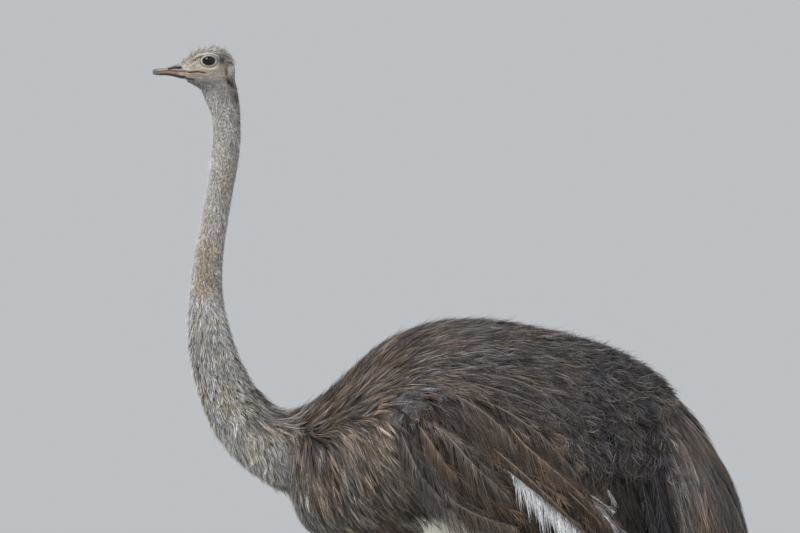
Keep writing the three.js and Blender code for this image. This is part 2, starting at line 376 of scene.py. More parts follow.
def head_relief(p):
    """How far the head's skin stands out of its smooth form."""
    x, y, z = folded(p)
    dx = np.abs(x - EYE[0])
    bow = dx ** 2
    h = -0.0095 * ramp(eye_reach(x, z), 1.42, 1.0)
    h += 0.0026 * bump(z, EYE[2] + 0.0175 - 9.0 * bow, 0.0042) * ramp(dx, 0.034, 0.016)
    h += 0.0013 * bump(z, EYE[2] - 0.0205 + 9.0 * bow, 0.0032) * ramp(dx, 0.026, 0.01)
    h -= 0.0010 * bump(z, EYE[2] - 0.0270 + 7.0 * bow, 0.0022) * ramp(dx, 0.03, 0.01)
    gape = line_distance(p, GAPE_LINE)
    parted = within(x, -0.656, -0.618, 0.01)
    h += -(0.0016 + 0.0016 * parted) * bump(gape, 0, 0.0015) + 0.0012 * bump(gape, 0.0044, 0.0022)
    for line, depth, width in (
            (LORE_LINE, 0.0017, 0.0024), (CHEEK_LINE, 0.0010, 0.0022), (JAW_FOLD, 0.0008, 0.002),
            (EAR_LINE, 0.0012, 0.0030)):
        h -= depth * near(p, line, width)
    ear = np.hypot((x - EAR_X) / 0.0042, (z - EAR_Z) / 0.0085)
    h += -0.0042 * ramp(ear, 1.2, 0.5) + 0.0012 * bump(ear, 1.7, 0.35)
    h += 0.0014 * bump(np.hypot(x - PATCH_X, (z - PATCH_Z) * 0.5), 0, 0.007)
    h += 0.00022 * np.sin(900 * z + 260 * x + 5 * np.sin(140 * x)) * np.sin(330 * x + 120 * z)
    return h * ramp(y, 0.008, 0.018)


SHANK_PLATE = 0.0150  # from one plate to the next
TOE_PLATE = 0.0105
SOLE_Z = 0.0006


def scutes(t, pitch):
    """Overlapping plates along t: each rises towards its far edge, then drops."""
    return ((t / pitch) % 1.0) ** 1.6


def plate_masks(p, n):
    """Where the plates down the shank's front and along the toes' tops are."""
    z = p[:, 2]
    shank = ramp(z, FOOT_TOP_Z, FOOT_TOP_Z + 0.03) * ramp(z, ANKLE_Z, ANKLE_Z - 0.05)
    foot = ramp(z, FOOT_TOP_Z + 0.012, FOOT_TOP_Z - 0.004)
    return ramp(-n[:, 0], 0.45, 0.85) * shank, ramp(n[:, 2], 0.35, 0.8) * foot


def plate_grooves(p, n):
    """1 in the dark groove below each plate, and 1 on the plates."""
    front, top = plate_masks(p, n)
    down = ramp(scutes(p[:, 2], SHANK_PLATE), 0.2, 0.0)
    ahead = ramp(scutes(-p[:, 0], TOE_PLATE), 0.2, 0.0)
    return np.maximum(front * down, top * ahead), np.maximum(front, top)


def foot_relief(p, n):
    """The plates' heights, with small scales between and pads below."""
    x, y, z = p.T
    front, top = plate_masks(p, n)
    pads = ramp(-n[:, 2], -0.2, 0.3) * ramp(z, 0.035, 0.02)
    knob = ramp(np.abs(z - ANKLE_Z), 0.06, 0.02)
    return 0.0010 * scutes(z, SHANK_PLATE) * front + 0.0012 * scutes(-x, TOE_PLATE) * top \
        + 0.0005 * np.sin(1500 * x) * np.sin(1500 * y) * pads \
        + 0.0006 * np.sin(420 * z + 3 * np.sin(80 * y)) * knob


TOE_DRAW = 0.0240  # takes the tip of the toe's skin into the claw
TOE_LENGTH = 0.055
CLAW_MIDDLE_Z = 0.0175


def ahead_of_claw(p):
    """How far p is in front of the root of its own foot's claw."""
    return np.where(p[:, 1] < 0, *CLAW_ROOT) - p[:, 0]


def reach_claws(p):
    """Draws the inner toes out over the roots of the claws."""
    draw = TOE_DRAW * ramp(ahead_of_claw(p) + TOE_LENGTH, 0, 0.8 * TOE_LENGTH) * ramp(p[:, 2], 0.08, 0.06)
    return p - draw[:, None] * np.array([1.0, 0, 0])


def tuck(p):
    """Draws the skin's end together inside each claw."""
    x, y, z = p.T
    middle = np.column_stack([x, np.sign(y) * FOOT_Y, np.full(len(x), CLAW_MIDDLE_Z)])
    share = 0.45 * ramp(ahead_of_claw(p), -0.001, 0.006) * (z < 0.05) * (x < 0.1)
    return p + (middle - p) * share[:, None]


def foot_push(p):
    """The way from p to the feet's own finer form; the skin folds round each claw, then dives into it."""
    ahead = ahead_of_claw(p)
    cuff = 0.0016 * bump(ahead, -0.004, 0.005) - 0.0050 * ramp(ahead, -0.001, 0.007)
    return -foot_field.slope(p) * ((foot_field.at(p) - cuff) * ramp(ahead, 0.008, 0.003))[:, None]


def head_push(p):
    """The way from p to the head's own finer form."""
    depth = np.interp(p[:, 2], NECK_DEPTH_Z, NECK_DEPTH) + skin_dive(p[:, 0], p[:, 2])
    return -head_field.slope(p) * (head_field.at(p) + depth)[:, None]


def on_head(p):
    return (p[:, 2] > NECK_TOP - 0.05) & (p[:, 0] < SLENDER_X)


def on_foot(p):
    return p[:, 2] < FOOT_TOP_Z + 0.05


def on_leg(p):
    return (p[:, 2] < 0.60) & (p[:, 0] < 0.42)


def on_face(p):
    return (p[:, 2] > 1.752) & (p[:, 0] < -0.54) & (p[:, 0] > -0.70)


def rough_skin():
    """The outline sunk by the coat's depth, cut finer where the skin is bare or thinly covered."""
    x, z = ((outer.low[k] + np.arange(outer.values.shape[k])) * BODY_VOXEL for k in (0, 2))
    x, z = x[:, None, None], z[None, None, :]
    depths = coat_depth(x, z, leg_field.values) + skin_dive(x, z)
    points, faces = outer.surface(np.maximum(outer.values + depths, SKIN_END - x))
    points, faces = refine(points, faces, on_head(points) | on_foot(points), 2)
    points, faces = refine(points, faces, on_face(points), 1)
    shank = on_leg(points) & (points[:, 0] > -0.2) & (np.abs(points[:, 1]) > 0.05)
    neck = (points[:, 0] < CHEST_X - 0.06) & (points[:, 2] > 1.0) & ~on_head(points)
    return refine(points, faces, (shank | neck) & ~on_foot(points), 1)


def build_skin():
    points, faces = rough_skin()
    edges = edges_of(faces)
    points = reach_claws(relax(points, edges, 6, 0.5))
    near_head = ramp(points[:, 2], NECK_TOP - 0.06, NECK_TOP - 0.02) * (points[:, 0] < SLENDER_X)
    clear = points[:, 0] > SKIN_END + 0.003
    for _ in range(3):
        level = outer.at(points) + coat_depth(points[:, 0], points[:, 2], leg_field.at(points))
        push = -outer.slope(points) * level[:, None]
        near_foot = ramp(points[:, 2], 0.14, 0.08)
        for share, finer in ((near_head, head_push), (near_foot, foot_push)):
            chosen = share > 0
            w = share[chosen][:, None]
            push[chosen] = push[chosen] * (1 - w) + finer(points[chosen]) * w
        points = relax(points + push * clear[:, None], edges, 1, 0.3 * clear)
    points = tuck(points)
    n = vertex_normals(points, triangles(faces))
    relief = head_relief(points) * near_head + foot_relief(points, n) * on_leg(points)
    points = points + n * relief[:, None]
    points[:, 2] = np.maximum(points[:, 2], SOLE_Z)
    return points, faces

# ---- Markings, shared by skin and coat ----


def srgb(r, g, b):
    c = np.array([r, g, b]) / 255
    return np.where(c <= 0.04045, c / 12.92, ((c + 0.055) / 1.055) ** 2.4)


BREAST = srgb(101, 94, 87)
MANTLE = srgb(81, 74, 69)
BACK = srgb(86, 81, 80)
RUMP = srgb(71, 69, 71)
WING = srgb(92, 82, 75)
SHOULDER = srgb(98, 93, 93)
SHOULDER_BROWN = srgb(118, 104, 93)
BELLY = srgb(84, 78, 73)
BRIGHTEST = srgb(112, 109, 105)  # of the body's own coat
WHITE_PLUME = srgb(214, 215, 217)
SHAFT = srgb(172, 156, 134)
DOWN_GREY = srgb(128, 126, 130)
TAIL = srgb(98, 91, 85)
TAIL_GREY = srgb(115, 111, 114)
NECK_LOW = srgb(188, 187, 183)
NECK_PALE = srgb(212, 211, 209)
NECK_BROWN = srgb(205, 192, 174)
NECK_TUFT = srgb(172, 163, 147)
HEAD_DOWN = srgb(190, 187, 180)
CROWN = srgb(208, 205, 202)
FACE = srgb(180, 172, 155)
FACE_LIGHT = srgb(222, 212, 192)
FACE_PINK = srgb(170, 146, 128)
LID = srgb(200, 196, 182)
# Painted shade, for the head's creases and inside the eye's opening.
SKIN_SHADE = srgb(92, 78, 70)
MOUTH = srgb(122, 94, 90)
EAR_RED = srgb(134, 114, 106)
EAR_PALE = srgb(196, 192, 184)
TEMPLE = srgb(74, 64, 60)
THROAT = srgb(165, 164, 158)
THIGH_SKIN = srgb(220, 214, 203)
SHANK_SKIN = srgb(134, 124, 114)
SOLE = srgb(88, 78, 70)
LASH = srgb(44, 38, 34)
EYE_BLACK = srgb(10, 10, 12)
IRIS_DARK = srgb(15, 11, 10)
IRIS_LIGHT = srgb(36, 27, 22)
CLAW_DARK = srgb(70, 62, 56)
CLAW_WORN = srgb(112, 102, 92)
BILL_PALE = srgb(141, 135, 137)
BILL_PINK = srgb(160, 132, 116)
# Painted shade, for the bill's underside, the gape, the nostril and the jaw's lower edge.
BILL_SHADE = srgb(58, 46, 42)
BILL_TIP_GREEN = srgb(108, 111, 108)
JAW_LIGHT = srgb(202, 178, 165)
WARM_PATCH = np.array([1.25, 1.07, 0.88])


def paint(base, *layers):
    """Lays colours over base, each where its mask says; a number darkens or lightens what is there."""
    for colour, mask in layers:
        if np.ndim(colour) == 0:
            colour = base * colour
        base = base + (colour - base) * np.clip(mask, 0, 1)[:, None]
    return base


def waves(p, scale, seed):
    """Smooth noise from -1 to 1, from a few crossed waves about scale long."""
    rng = np.random.default_rng(seed)
    total = np.zeros(len(p))
    for _ in range(7):
        way = unit(rng.normal(size=3)) * 2 * math.pi / (scale * rng.uniform(0.6, 1.7))
        total += np.sin(p @ way + rng.uniform(0, 6.28))
    return total / 3.2


# Where the pale neck gives way to the brown breast, in the side view.
NECK_EDGE_Z = [0.70, 0.80, 0.85, 0.90, 0.94, 0.98]
NECK_EDGE_X = [-0.37, -0.405, -0.4175, -0.4425, -0.475, -0.50]


def past_neck(p, ripple, seed, start, end):
    """0 on the neck, 1 on the body, with a ragged edge between."""
    ahead = p[:, 0] - np.interp(p[:, 2], NECK_EDGE_Z, NECK_EDGE_X)
    return ramp(ahead + 0.02 * waves(p, ripple, seed), start, end)


# Painted shade along creases in the side view: between the breast and the wing, before the tail, and at the
# neck's base.
WING_GROOVE = [(-0.155, 0.75), (-0.09, 0.705), (-0.02, 0.655)]
TAIL_GROOVE = [(0.478, 0.955), (0.490, 0.86), (0.488, 0.74)]
NECK_FOLD = [(-0.520, 0.928), (-0.497, 0.912), (-0.468, 0.905)]


def body_marks(p):
    x, y, z = folded(p)
    wing = ramp(wing_field.at(p), 0.02, 0.002)
    rear = ramp(x, 0.12, 0.24) * ramp(z, 0.90, 0.80)
    low = ramp(x, -0.06, 0.02) * ramp(z, 0.75, 0.69)
    c = paint(
        BREAST,
        (MANTLE, ramp(z, 0.86, 0.94)),
        (BACK, ramp(x, -0.20, -0.05) * ramp(z, 1.0, 1.1)),
        (BELLY, ramp(x, -0.30, -0.15) * ramp(z, 0.85, 0.70)),
        (RUMP, ramp(x, 0.18, 0.34)),
        (TAIL, ramp(x, RUMP_X - 0.01, RUMP_X + 0.06)),
        (TAIL_GREY, spot(p, 0.545, 0.85, 0.045, 0.06)),
        (WING, wing * ramp(x, -0.12, -0.06)),
        # Darker at the wing's rear end, with painted shadow along its low edge over the body beneath.
        (0.64, wing * np.maximum(rear, 0.5 * low)),
        (SHOULDER_BROWN, 0.8 * spot(p, -0.21, 0.92, 0.07, 0.08)),
        (SHOULDER, spot(p, -0.112, 0.972, 0.05)),
        # Painted shadow on the body under the wing.
        (0.45, ramp(z, 0.74, 0.67) * ramp(x, -0.10, -0.02) * ramp(y, 0.04, 0.1)))
    # Painted shade along the creases.
    groove = np.maximum(near(p, WING_GROOVE, 0.016), near(p, TAIL_GROOVE, 0.014))
    return paint(c, (c * WARM_PATCH, 0.8 * ramp(waves(p, 0.10, 14), 0.2, 0.9)), (0.35, groove))


NECK_FRONT_Z = [1.20, 1.33, 1.46, 1.60, 1.70]
NECK_FRONT_X = [-0.652, -0.643, -0.616, -0.595, -0.600]


def behind_throat(p, start, end):
    """0 on the neck's pale front, 1 further back than end, up the slender part of the neck."""
    return ramp(p[:, 0] - np.interp(p[:, 2], NECK_FRONT_Z, NECK_FRONT_X), start, end)


def neck_marks(p):
    z = p[:, 2]
    slender = ramp(z, 1.19, 1.25)
    patch = 0.85 * bump(z, 1.335, 0.026) + 0.95 * bump(z, 1.250, 0.028) + 0.45 * bump(z, 1.295, 0.03)
    patch = np.minimum(patch + 0.40 * bump(z, 1.50, 0.16), 1)
    middle = behind_throat(p, 0.0, 0.016) * (1 - 0.8 * behind_throat(p, 0.046, 0.064))
    return paint(
        NECK_PALE,
        (NECK_BROWN, patch * middle + 0.3 * ramp(waves(p, 0.09, 3), 0.1, 0.9)),
        # Painted shade on the neck's side behind its front, and a painted highlight on the front edge, which
        # is partly its own pale stripe.
        (0.90, slender * behind_throat(p, 0.020, 0.050)),
        (1.12, slender * behind_throat(p, 0.016, 0.0)),
        (NECK_LOW, ramp(z, 1.22, 1.12)),
        (NECK_TUFT, bump(z, 0.95, 0.10) * ramp(waves(p, 0.07, 5), -0.2, 0.7)),
        (0.84, ramp(z, 0.98, 0.86)),
        (THROAT, ramp(z, 1.66, 1.74) * 0.7),
        (TEMPLE, 0.55 * near(p, NAPE_LINE, 0.0085)),
        # Painted shade in the fold at the neck's base.
        (0.4, near(p, NECK_FOLD, 0.008)))


def head_marks(p):
    x, y, z = folded(p)
    side = ramp(y, 0.008, 0.02)
    reach = eye_reach(x, z)
    lore = bump(x, -0.655, 0.032) * ramp(z, 1.783, 1.79) * ramp(z, 1.832, 1.822)
    below = bump(x, -0.615, 0.042) * ramp(z, 1.772, 1.784) * ramp(z, 1.808, 1.802)
    jaw = line_distance(p, JAW_LINE)
    gape = line_distance(p, GAPE_LINE)
    parted = within(x, -0.656, -0.618, 0.006)
    inside = ramp(gape, 0.0016 + 0.0012 * parted, 0.0004 + 0.0008 * parted) * (0.45 + 0.45 * parted)
    ear = line_distance(p, EAR_LINE)
    low_end = ramp(z, 1.774, 1.762)
    ends = 0.15 + 0.50 * ramp(z, 1.797, 1.803) + 0.75 * low_end
    return paint(
        HEAD_DOWN,
        (THROAT, ramp(z, 1.768, 1.745)),
        # Painted shade under the jaw, near the middle.
        (THROAT * 0.7, ramp(y, 0.010, 0.004) * ramp(z, 1.776, 1.768)),
        (FACE, side * lore * 0.95),
        (FACE, side * below * 0.8),
        (FACE_LIGHT, 0.45 * side * lore * ramp(z, 1.812, 1.800)),
        (FACE_LIGHT, 0.55 * side * bump(reach, 1.85, 0.30) * ramp(z, 1.803, 1.795)),
        (CROWN, ramp(z, 1.818, 1.832) * (1 - 0.8 * ramp(x, -0.600, -0.580))),
        (TEMPLE, side * spot(p, -0.5765, 1.8125, 0.0115, 0.0135)),
        (FACE, 0.8 * side * bump(jaw, 0, 0.0055)),
        (JAW_LIGHT, 0.75 * side * bump(jaw, 0, 0.0060) * ramp(x, -0.636, -0.664)),
        # Painted shadow along the jaw's lower edge.
        (BILL_SHADE, 0.95 * ramp(y, 0.005, 0.010) * near(p, CHIN_LINE, 0.0036)),
        (FACE_LIGHT, 0.95 * side * near(p, BROW_LINE, 0.0044)),
        (FACE_PINK, 0.8 * side * bump(gape, 0.0035, 0.003)),
        (MOUTH, side * inside * ramp(x, -0.608, -0.618)),
        # Painted shade in the gape's slit.
        (BILL_SHADE, side * bump(gape, 0, 0.0007) * (0.5 + 0.4 * parted) * ramp(x, -0.612, -0.622)),
        # Painted shade in the lore's crease.
        (SKIN_SHADE, 0.8 * side * near(p, LORE_LINE, 0.0018)),
        (EAR_RED, 0.7 * side * bump(ear, 0, 0.0060)),
        (TEMPLE, ends * side * bump(ear, 0, 0.0024 + 0.0022 * low_end)),
        (EAR_PALE, 0.85 * side * bump(patch_reach(x, z), 0, 0.0062)),
        (0.72, side * bump(x, -0.5540, 0.008) * within(z, 1.757, 1.775, 0.006)),
        (LID, side * ramp(reach, 1.46, 1.36)),
        # Painted shade in the crease round the lids and inside the eye's opening.
        (SKIN_SHADE, side * 0.85 * bump(reach, 1.41, 0.10)),
        (SKIN_SHADE, side * ramp(reach, 1.08, 1.02)))


def leg_marks(p):
    z = p[:, 2]
    shank = ramp(z, ANKLE_Z + 0.10, ANKLE_Z - 0.02)
    return paint(THIGH_SKIN, (SHANK_SKIN, shank), (SOLE, ramp(z, 0.02, 0.006)))


def bill_marks(p, upper):
    """The horn's colours: paler above, pinkish along the gape and greenish at the tip, with painted shade
    below, along the gape and in the nostril.
    """
    x, y, z = folded(p)
    gape, under = (np.interp(x, BILL_X, v) for v in (BILL_GAPE, BILL_UNDER))
    low = (gape - z) / np.maximum(gape - under, 1e-4)
    if upper:
        slit = ramp(line_distance(p, NOSTRIL_LINE), 0.0038, 0.0024)
        c = paint(
            BILL_PALE,
            (BILL_PINK, 0.8 * bump(z - gape, 0.0012, 0.0026) * ramp(x, -0.735, -0.715)),
            # Painted shade along the gape and inside the nostril.
            (BILL_SHADE, 0.75 * bump(z - gape, -0.0004, 0.0010) * ramp(x, -0.738, -0.725)),
            (BILL_SHADE * 0.3, ramp(y, 0.004, 0.009) * slit))
    else:
        c = paint(
            BILL_PINK,
            (JAW_LIGHT, 0.9 * ramp(x, -0.692, -0.672)),
            # Painted shadow on the underside of the lower half, and painted shade along the gape.
            (BILL_SHADE, ramp(low, 0.50, 0.66) * ramp(x, -0.742, -0.728)),
            (BILL_SHADE, 0.7 * bump(low, 0.0, 0.10)))
    return paint(c, (BILL_TIP_GREEN, 0.85 * ramp(x, -0.729, -0.741)))


def markings(p):
    """The animal's colours at points of its skin or at the roots of its coat."""
    x, z = p[:, 0], p[:, 2]
    return paint(
        body_marks(p),
        (neck_marks(p), 1 - past_neck(p, 0.03, 4, -0.055, 0.040)),
        (head_marks(p), ramp(z, NECK_TOP - 0.02, NECK_TOP + 0.012) * (x < SLENDER_X)),
        (leg_marks(p), bareness(leg_field.at(p), z)))


# ---- Materials ----


class Finish:
    """A material with helpers that add nodes to it."""

    def __init__(self, name):
        self.material = bpy.data.materials.new(name)
        self.material.use_nodes = True
        self.tree = self.material.node_tree
        self.surface = self.tree.nodes["Principled BSDF"]
        self.place = self.node("ShaderNodeTexCoord").outputs["Object"]

    def put(self, value, socket):
        """Links a socket to value, or gives it value as its own."""
        if isinstance(value, bpy.types.NodeSocket):
            self.tree.links.new(value, socket)
        else:
            socket.default_value = value

    def node(self, kind, settings=None, **inputs):
        node = self.tree.nodes.new(kind)
        for key, value in (settings or {}).items():
            setattr(node, key, value)
        for key, value in inputs.items():
            self.put(value, node.inputs[key.replace("_", " ")])
        return node

    def attribute(self, name, output="Color"):
        return self.node("ShaderNodeAttribute", {"attribute_name": name}).outputs[output]

    def stretched(self, x, y, z):
        """The place with each axis scaled, so that a texture runs longer one way."""
        return self.node("ShaderNodeMapping", Vector=self.place, Scale=(x, y, z)).outputs["Vector"]

    def noise(self, scale, detail=4.0, vector=None):
        source = self.place if vector is None else vector
        return self.node("ShaderNodeTexNoise", Vector=source, Scale=scale, Detail=detail).outputs["Fac"]

    def net(self, scale):
        """0 on the lines of a net of cells, more inside them."""
        settings = {"feature": "DISTANCE_TO_EDGE"}
        cells = self.node("ShaderNodeTexVoronoi", settings, Vector=self.place, Scale=scale)
        return cells.outputs["Distance"]

    def between(self, value, low, high, at_low, at_high):
        limits = {"From_Min": low, "From_Max": high, "To_Min": at_low, "To_Max": at_high}
        return self.node("ShaderNodeMapRange", Value=value, **limits).outputs["Result"]

    def mottle(self, at_low, at_high, *noise):
        """Noise spread between two numbers."""
        return self.between(self.noise(*noise), 0.3, 0.7, at_low, at_high)

    def joined(self, kind, operation, a, b):
        node = self.node(kind, {"operation": operation})
        self.put(a, node.inputs[0])
        self.put(b, node.inputs[1])
        return node.outputs[0]

    def maths(self, operation, a, b):
        return self.joined("ShaderNodeMath", operation, a, b)

    def times(self, colour, number):
        return self.joined("ShaderNodeVectorMath", "MULTIPLY", colour, number)

    def mixed(self, share, first, second):
        """A colour between two, by share."""
        node = self.node("ShaderNodeMix", {"data_type": "RGBA"})
        self.put(share, node.inputs[0])
        for colour, socket in ((first, node.inputs[6]), (second, node.inputs[7])):
            self.put(colour if isinstance(colour, bpy.types.NodeSocket) else (*colour, 1), socket)
        return node.outputs[2]

    def bump(self, height, distance):
        node = self.node("ShaderNodeBump", Height=height, Distance=distance, Strength=1.0)
        self.put(node.outputs["Normal"], self.surface.inputs["Normal"])

    def give(self, **sockets):
        """Sets the surface's sockets; an underscore stands for a space."""
        for key, value in sockets.items():
            self.put(value, self.surface.inputs[key.replace("_", " ")])
        return self.material


def floor_material():
    finish = Finish("floor")
    tone = finish.mottle(0.46, 0.48, 3.0)
    return finish.give(Base_Color=finish.mixed(tone, (0, 0, 0), (1, 1, 0.98)), Roughness=0.9)


def skin_material():
    """Fine wrinkles all over, and a net of small scales where the legs are bare."""
    finish = Finish("skin")
    scaly = finish.attribute("scaly", "Fac")
    net = finish.between(finish.net(290.0), 0.0, 0.20, 0.0, 1.0)
    groove = finish.maths("MULTIPLY", scaly, finish.maths("SUBTRACT", 1.0, net))
    mottle = finish.mottle(0.82, 1.16, 55.0, 8.0)
    shade = finish.maths("MULTIPLY", mottle, finish.between(groove, 0.0, 1.0, 1.0, 0.74))
    colour = finish.times(finish.attribute("tint"), shade)
    grain = finish.noise(520.0, 6.0, finish.stretched(1.0, 1.0, 1.6))
    folds = finish.noise(75.0, 5.0, finish.stretched(0.8, 1.0, 2.4))
    creased = finish.maths("ADD", finish.maths("MULTIPLY", grain, 0.6), finish.maths("MULTIPLY", folds, 2.2))
    finish.bump(finish.maths("SUBTRACT", creased, groove), 0.0009)
    gloss = finish.mottle(0.48, 0.68, 140.0)
    return finish.give(Base_Color=colour, Roughness=gloss, Specular_IOR_Level=0.4)


def horn(finish, scale, stretch):
    """A shade and a gloss with fine streaks that run along the piece."""
    streak = finish.noise(scale, 5.0, finish.stretched(*stretch))
    blotch = finish.mottle(0.86, 1.12, 160.0, 5.0)
    shade = finish.maths("MULTIPLY", blotch, finish.between(streak, 0.3, 0.7, 0.84, 1.12))
    finish.bump(finish.maths("ADD", streak, finish.noise(900.0, 3.0)), 0.0003)
    return shade, finish.between(streak, 0.3, 0.7, 0.36, 0.55)


def bill_material():
    finish = Finish("bill")
    shade, gloss = horn(finish, 420.0, (0.25, 1.0, 1.3))
    colour = finish.times(finish.attribute("tint"), shade)
    return finish.give(Base_Color=colour, Roughness=gloss, Specular_IOR_Level=0.45)


def claw_material():
    finish = Finish("claw")
    shade, gloss = horn(finish, 300.0, (0.3, 1.0, 1.0))
    worn = finish.between(finish.noise(70.0, 6.0), 0.45, 0.65, 0.0, 1.0)
    colour = finish.mixed(worn, CLAW_DARK, CLAW_WORN)
    return finish.give(Base_Color=finish.times(colour, shade), Roughness=gloss)


def eye_material():
    """A black pupil in a dark brown iris with fine spokes, under a wet clear coat."""
    finish = Finish("eye")
    radius = finish.attribute("iris", "Fac")
    spokes = finish.noise(2.6, 6.0, finish.attribute("spoke", "Vector"))
    brown = finish.mixed(finish.between(spokes, 0.35, 0.65, 0.0, 1.0), IRIS_DARK, IRIS_LIGHT)
    iris = finish.mixed(finish.between(radius, 0.60, 0.70, 0.0, 1.0), brown, EYE_BLACK)
    colour = finish.mixed(finish.between(radius, 0.44, 0.48, 1.0, 0.0), iris, EYE_BLACK)
    return finish.give(
        Base_Color=colour, Roughness=0.3, Specular_IOR_Level=0.2, Coat_Weight=0.4, Coat_Roughness=0.2)


def coat_material(name, roughness, sheen):
    """Strands in their own colours, with a slight unevenness along each."""
    finish = Finish(name)
    shade = finish.mottle(0.88, 1.12, 210.0, 3.0)
    colour = finish.times(finish.attribute("tint"), shade)
    return finish.give(
        Base_Color=colour, Roughness=roughness, Specular_IOR_Level=0.3, Sheen_Weight=sheen,
        Sheen_Roughness=0.5)

# ---- Eyes, lids, bill and claws ----


def angles(count, offset=0.0):
    """Steps round a circle."""
    return (np.arange(count) + offset) * 2 * math.pi / count


def ring_faces(rows, columns):
    """Quads between rings of points, each closed on itself."""
    r = np.arange(rows - 1)[:, None] * columns
    c = np.arange(columns)[None, :]
    after = (c + 1) % columns
    return np.stack([r + c, r + after, r + columns + after, r + columns + c], -1).reshape(-1, 4)


def capped(rows, columns):
    """A closed tube's faces, with one middle point added after the rings for each end."""
    c = np.arange(columns)
    after = (c + 1) % columns
    first, last_ring = rows * columns, (rows - 1) * columns
    start = np.stack([np.full(columns, first), after, c], -1)
    end = np.stack([np.full(columns, first + 1), last_ring + c, last_ring + after], -1)
    return [ring_faces(rows, columns), np.concatenate([start, end])]


LID_HALF = (0.0152, 0.0102)  # the opening between the lids
LID_AROUND = 96
# The steps across a lid, from its edge outwards, and how far it stands out there.
LID_STEPS = [
    -0.0009, -0.0004, 0.0, 0.0004, 0.0009, 0.0015, 0.0022, 0.0030, 0.0037, 0.0043, 0.0049, 0.0057,
    0.0068, 0.0080, 0.0090]
LID_RISE = [
    -0.0013, -0.0002, 0.0006, 0.0012, 0.0016, 0.0018, 0.0017, 0.0012, 0.0006, -0.0001, 0.0001, 0.0003,
    0.0000, -0.0003, -0.0009]
RAY_Y = 0.08  # rays at the skin start from here, outside the head


def build_lids(side, tree):
    """Points of one eye's lids, a rounded ring that sinks into the skin all round."""
    around = angles(LID_AROUND)
    cos, sin = np.cos(around), np.sin(around)
    steps, rise = (np.array(v)[:, None] for v in (LID_STEPS, LID_RISE))
    half_x = LID_HALF[0] * (1 + 0.05 * np.abs(cos) ** 8)  # the corners are drawn out a little
    half_z = LID_HALF[1]
    x = EYE[0] + (half_x + steps) * cos
    z = EYE[2] + (half_z + steps) * sin
    ball = EYE[1] + np.sqrt(EYE_R ** 2 - np.hypot(half_x * cos, half_z * sin) ** 2)
    hood = 1 + 0.45 * ramp(sin, -0.2, 0.9)
    wrinkle = 0.00012 * np.sin(around * 23 + 3 * np.sin(around * 3)) * ramp(steps, 0.0005, 0.002)
    y = ball + rise * hood - 0.22 * np.maximum(steps, 0) + wrinkle

    ground = []
    for at_x, at_y, at_z in zip(x.flat, y.flat, z.flat):
        hit = tree.ray_cast(Vector((at_x, side * RAY_Y, at_z)), Vector((0, -side, 0)))[0]
        ground.append(abs(hit.y) if hit else at_y)
    settle = ramp(steps, 0.0030, 0.0075)
    y = y * (1 - settle) + (np.reshape(ground, y.shape) + rise) * settle
    return np.stack([x, side * y, z], -1).reshape(-1, 3)


EYE_RINGS, EYE_COLUMNS = 40, 64
EYE_BULGE = 0.035  # of the clear front
EYE_LEAN = 0.10  # how far the eyes look forward
EYE_GAP = 0.0002


def build_eye(name, side):
    """An eyeball whose clear front bulges; its pole looks out sideways and a little forward."""
    polar = np.linspace(0, math.pi, EYE_RINGS + 2)[1:-1][:, None]
    turn = angles(EYE_COLUMNS)
    bulge = 1 + EYE_BULGE * bump(polar, 0, 0.55) - 0.17 * ramp(polar, 0.98, 1.45)
    local = [np.sin(polar) * np.cos(turn), np.cos(polar) + 0 * turn, np.sin(polar) * np.sin(turn)]
    local = (np.stack(local, -1) * bulge[..., None]).reshape(-1, 3)
    local = np.concatenate([local, [[0, 1 + EYE_BULGE, 0], [0, -1, 0]]])
    cos, sin = math.cos(EYE_LEAN), math.sin(EYE_LEAN)
    world = local @ np.array([[cos, sin, 0], [-sin, cos, 0], [0, 0, 1]]) * (EYE_R - EYE_GAP)
    faces = [f[:, ::-side] for f in capped(EYE_RINGS, EYE_COLUMNS)]
    obj = new_object(name, (world + EYE) * [1, side, 1], faces)
    radius = np.hypot(local[:, 0], local[:, 2])
    set_attribute(obj, "iris", np.where(local[:, 1] > 0, radius, 2 - radius))
    spoke = local[:, [0, 2]] / np.maximum(radius, 0.05)[:, None]
    set_attribute(obj, "spoke", np.column_stack([spoke * 4, radius * 3]))
    return obj


# The bill's side view: its top, the gape and its underside, and half its width at the gape.
BILL_X = [-0.7485, -0.7480, -0.7465, -0.741, -0.730, -0.716, -0.702, -0.690, -0.677, -0.660]
BILL_TOP = [1.7835, 1.7862, 1.7886, 1.7903, 1.7915, 1.7922, 1.7962, 1.8012, 1.8060, 1.8100]
BILL_GAPE = [1.7822, 1.7822, 1.7824, 1.7832, 1.7845, 1.7857, 1.7860, 1.7851, 1.7838, 1.7820]
BILL_UNDER = [1.7812, 1.7790, 1.7766, 1.7749, 1.7743, 1.7743, 1.7725, 1.7695, 1.7660, 1.7650]
BILL_HALF = [0.0006, 0.0040, 0.0080, 0.0132, 0.0178, 0.0208, 0.0229, 0.0243, 0.0252, 0.0250]
NOSTRIL_LINE = [(-0.7075, 1.7902), (-0.694, 1.7932), (-0.6775, 1.7935)]
BILL_RINGS, BILL_AROUND = 110, 96
UPPER_GAP, LOWER_GAP = 0.0002, 0.0003  # from the gape's line to each half
LOWER_INSET = 0.0012


def profiles(x, xs, *lists):
    """Each list's value at x, through the points without corners."""
    offsets = np.linspace(-1.5, 1.5, 7)
    weights = np.exp(-offsets ** 2)
    reach = 0.0022 * ramp(x, xs[0], xs[0] + 0.006)
    for ys in lists:
        yield sum(w * np.interp(x + o * reach, xs, ys) for o, w in zip(offsets, weights)) / weights.sum()


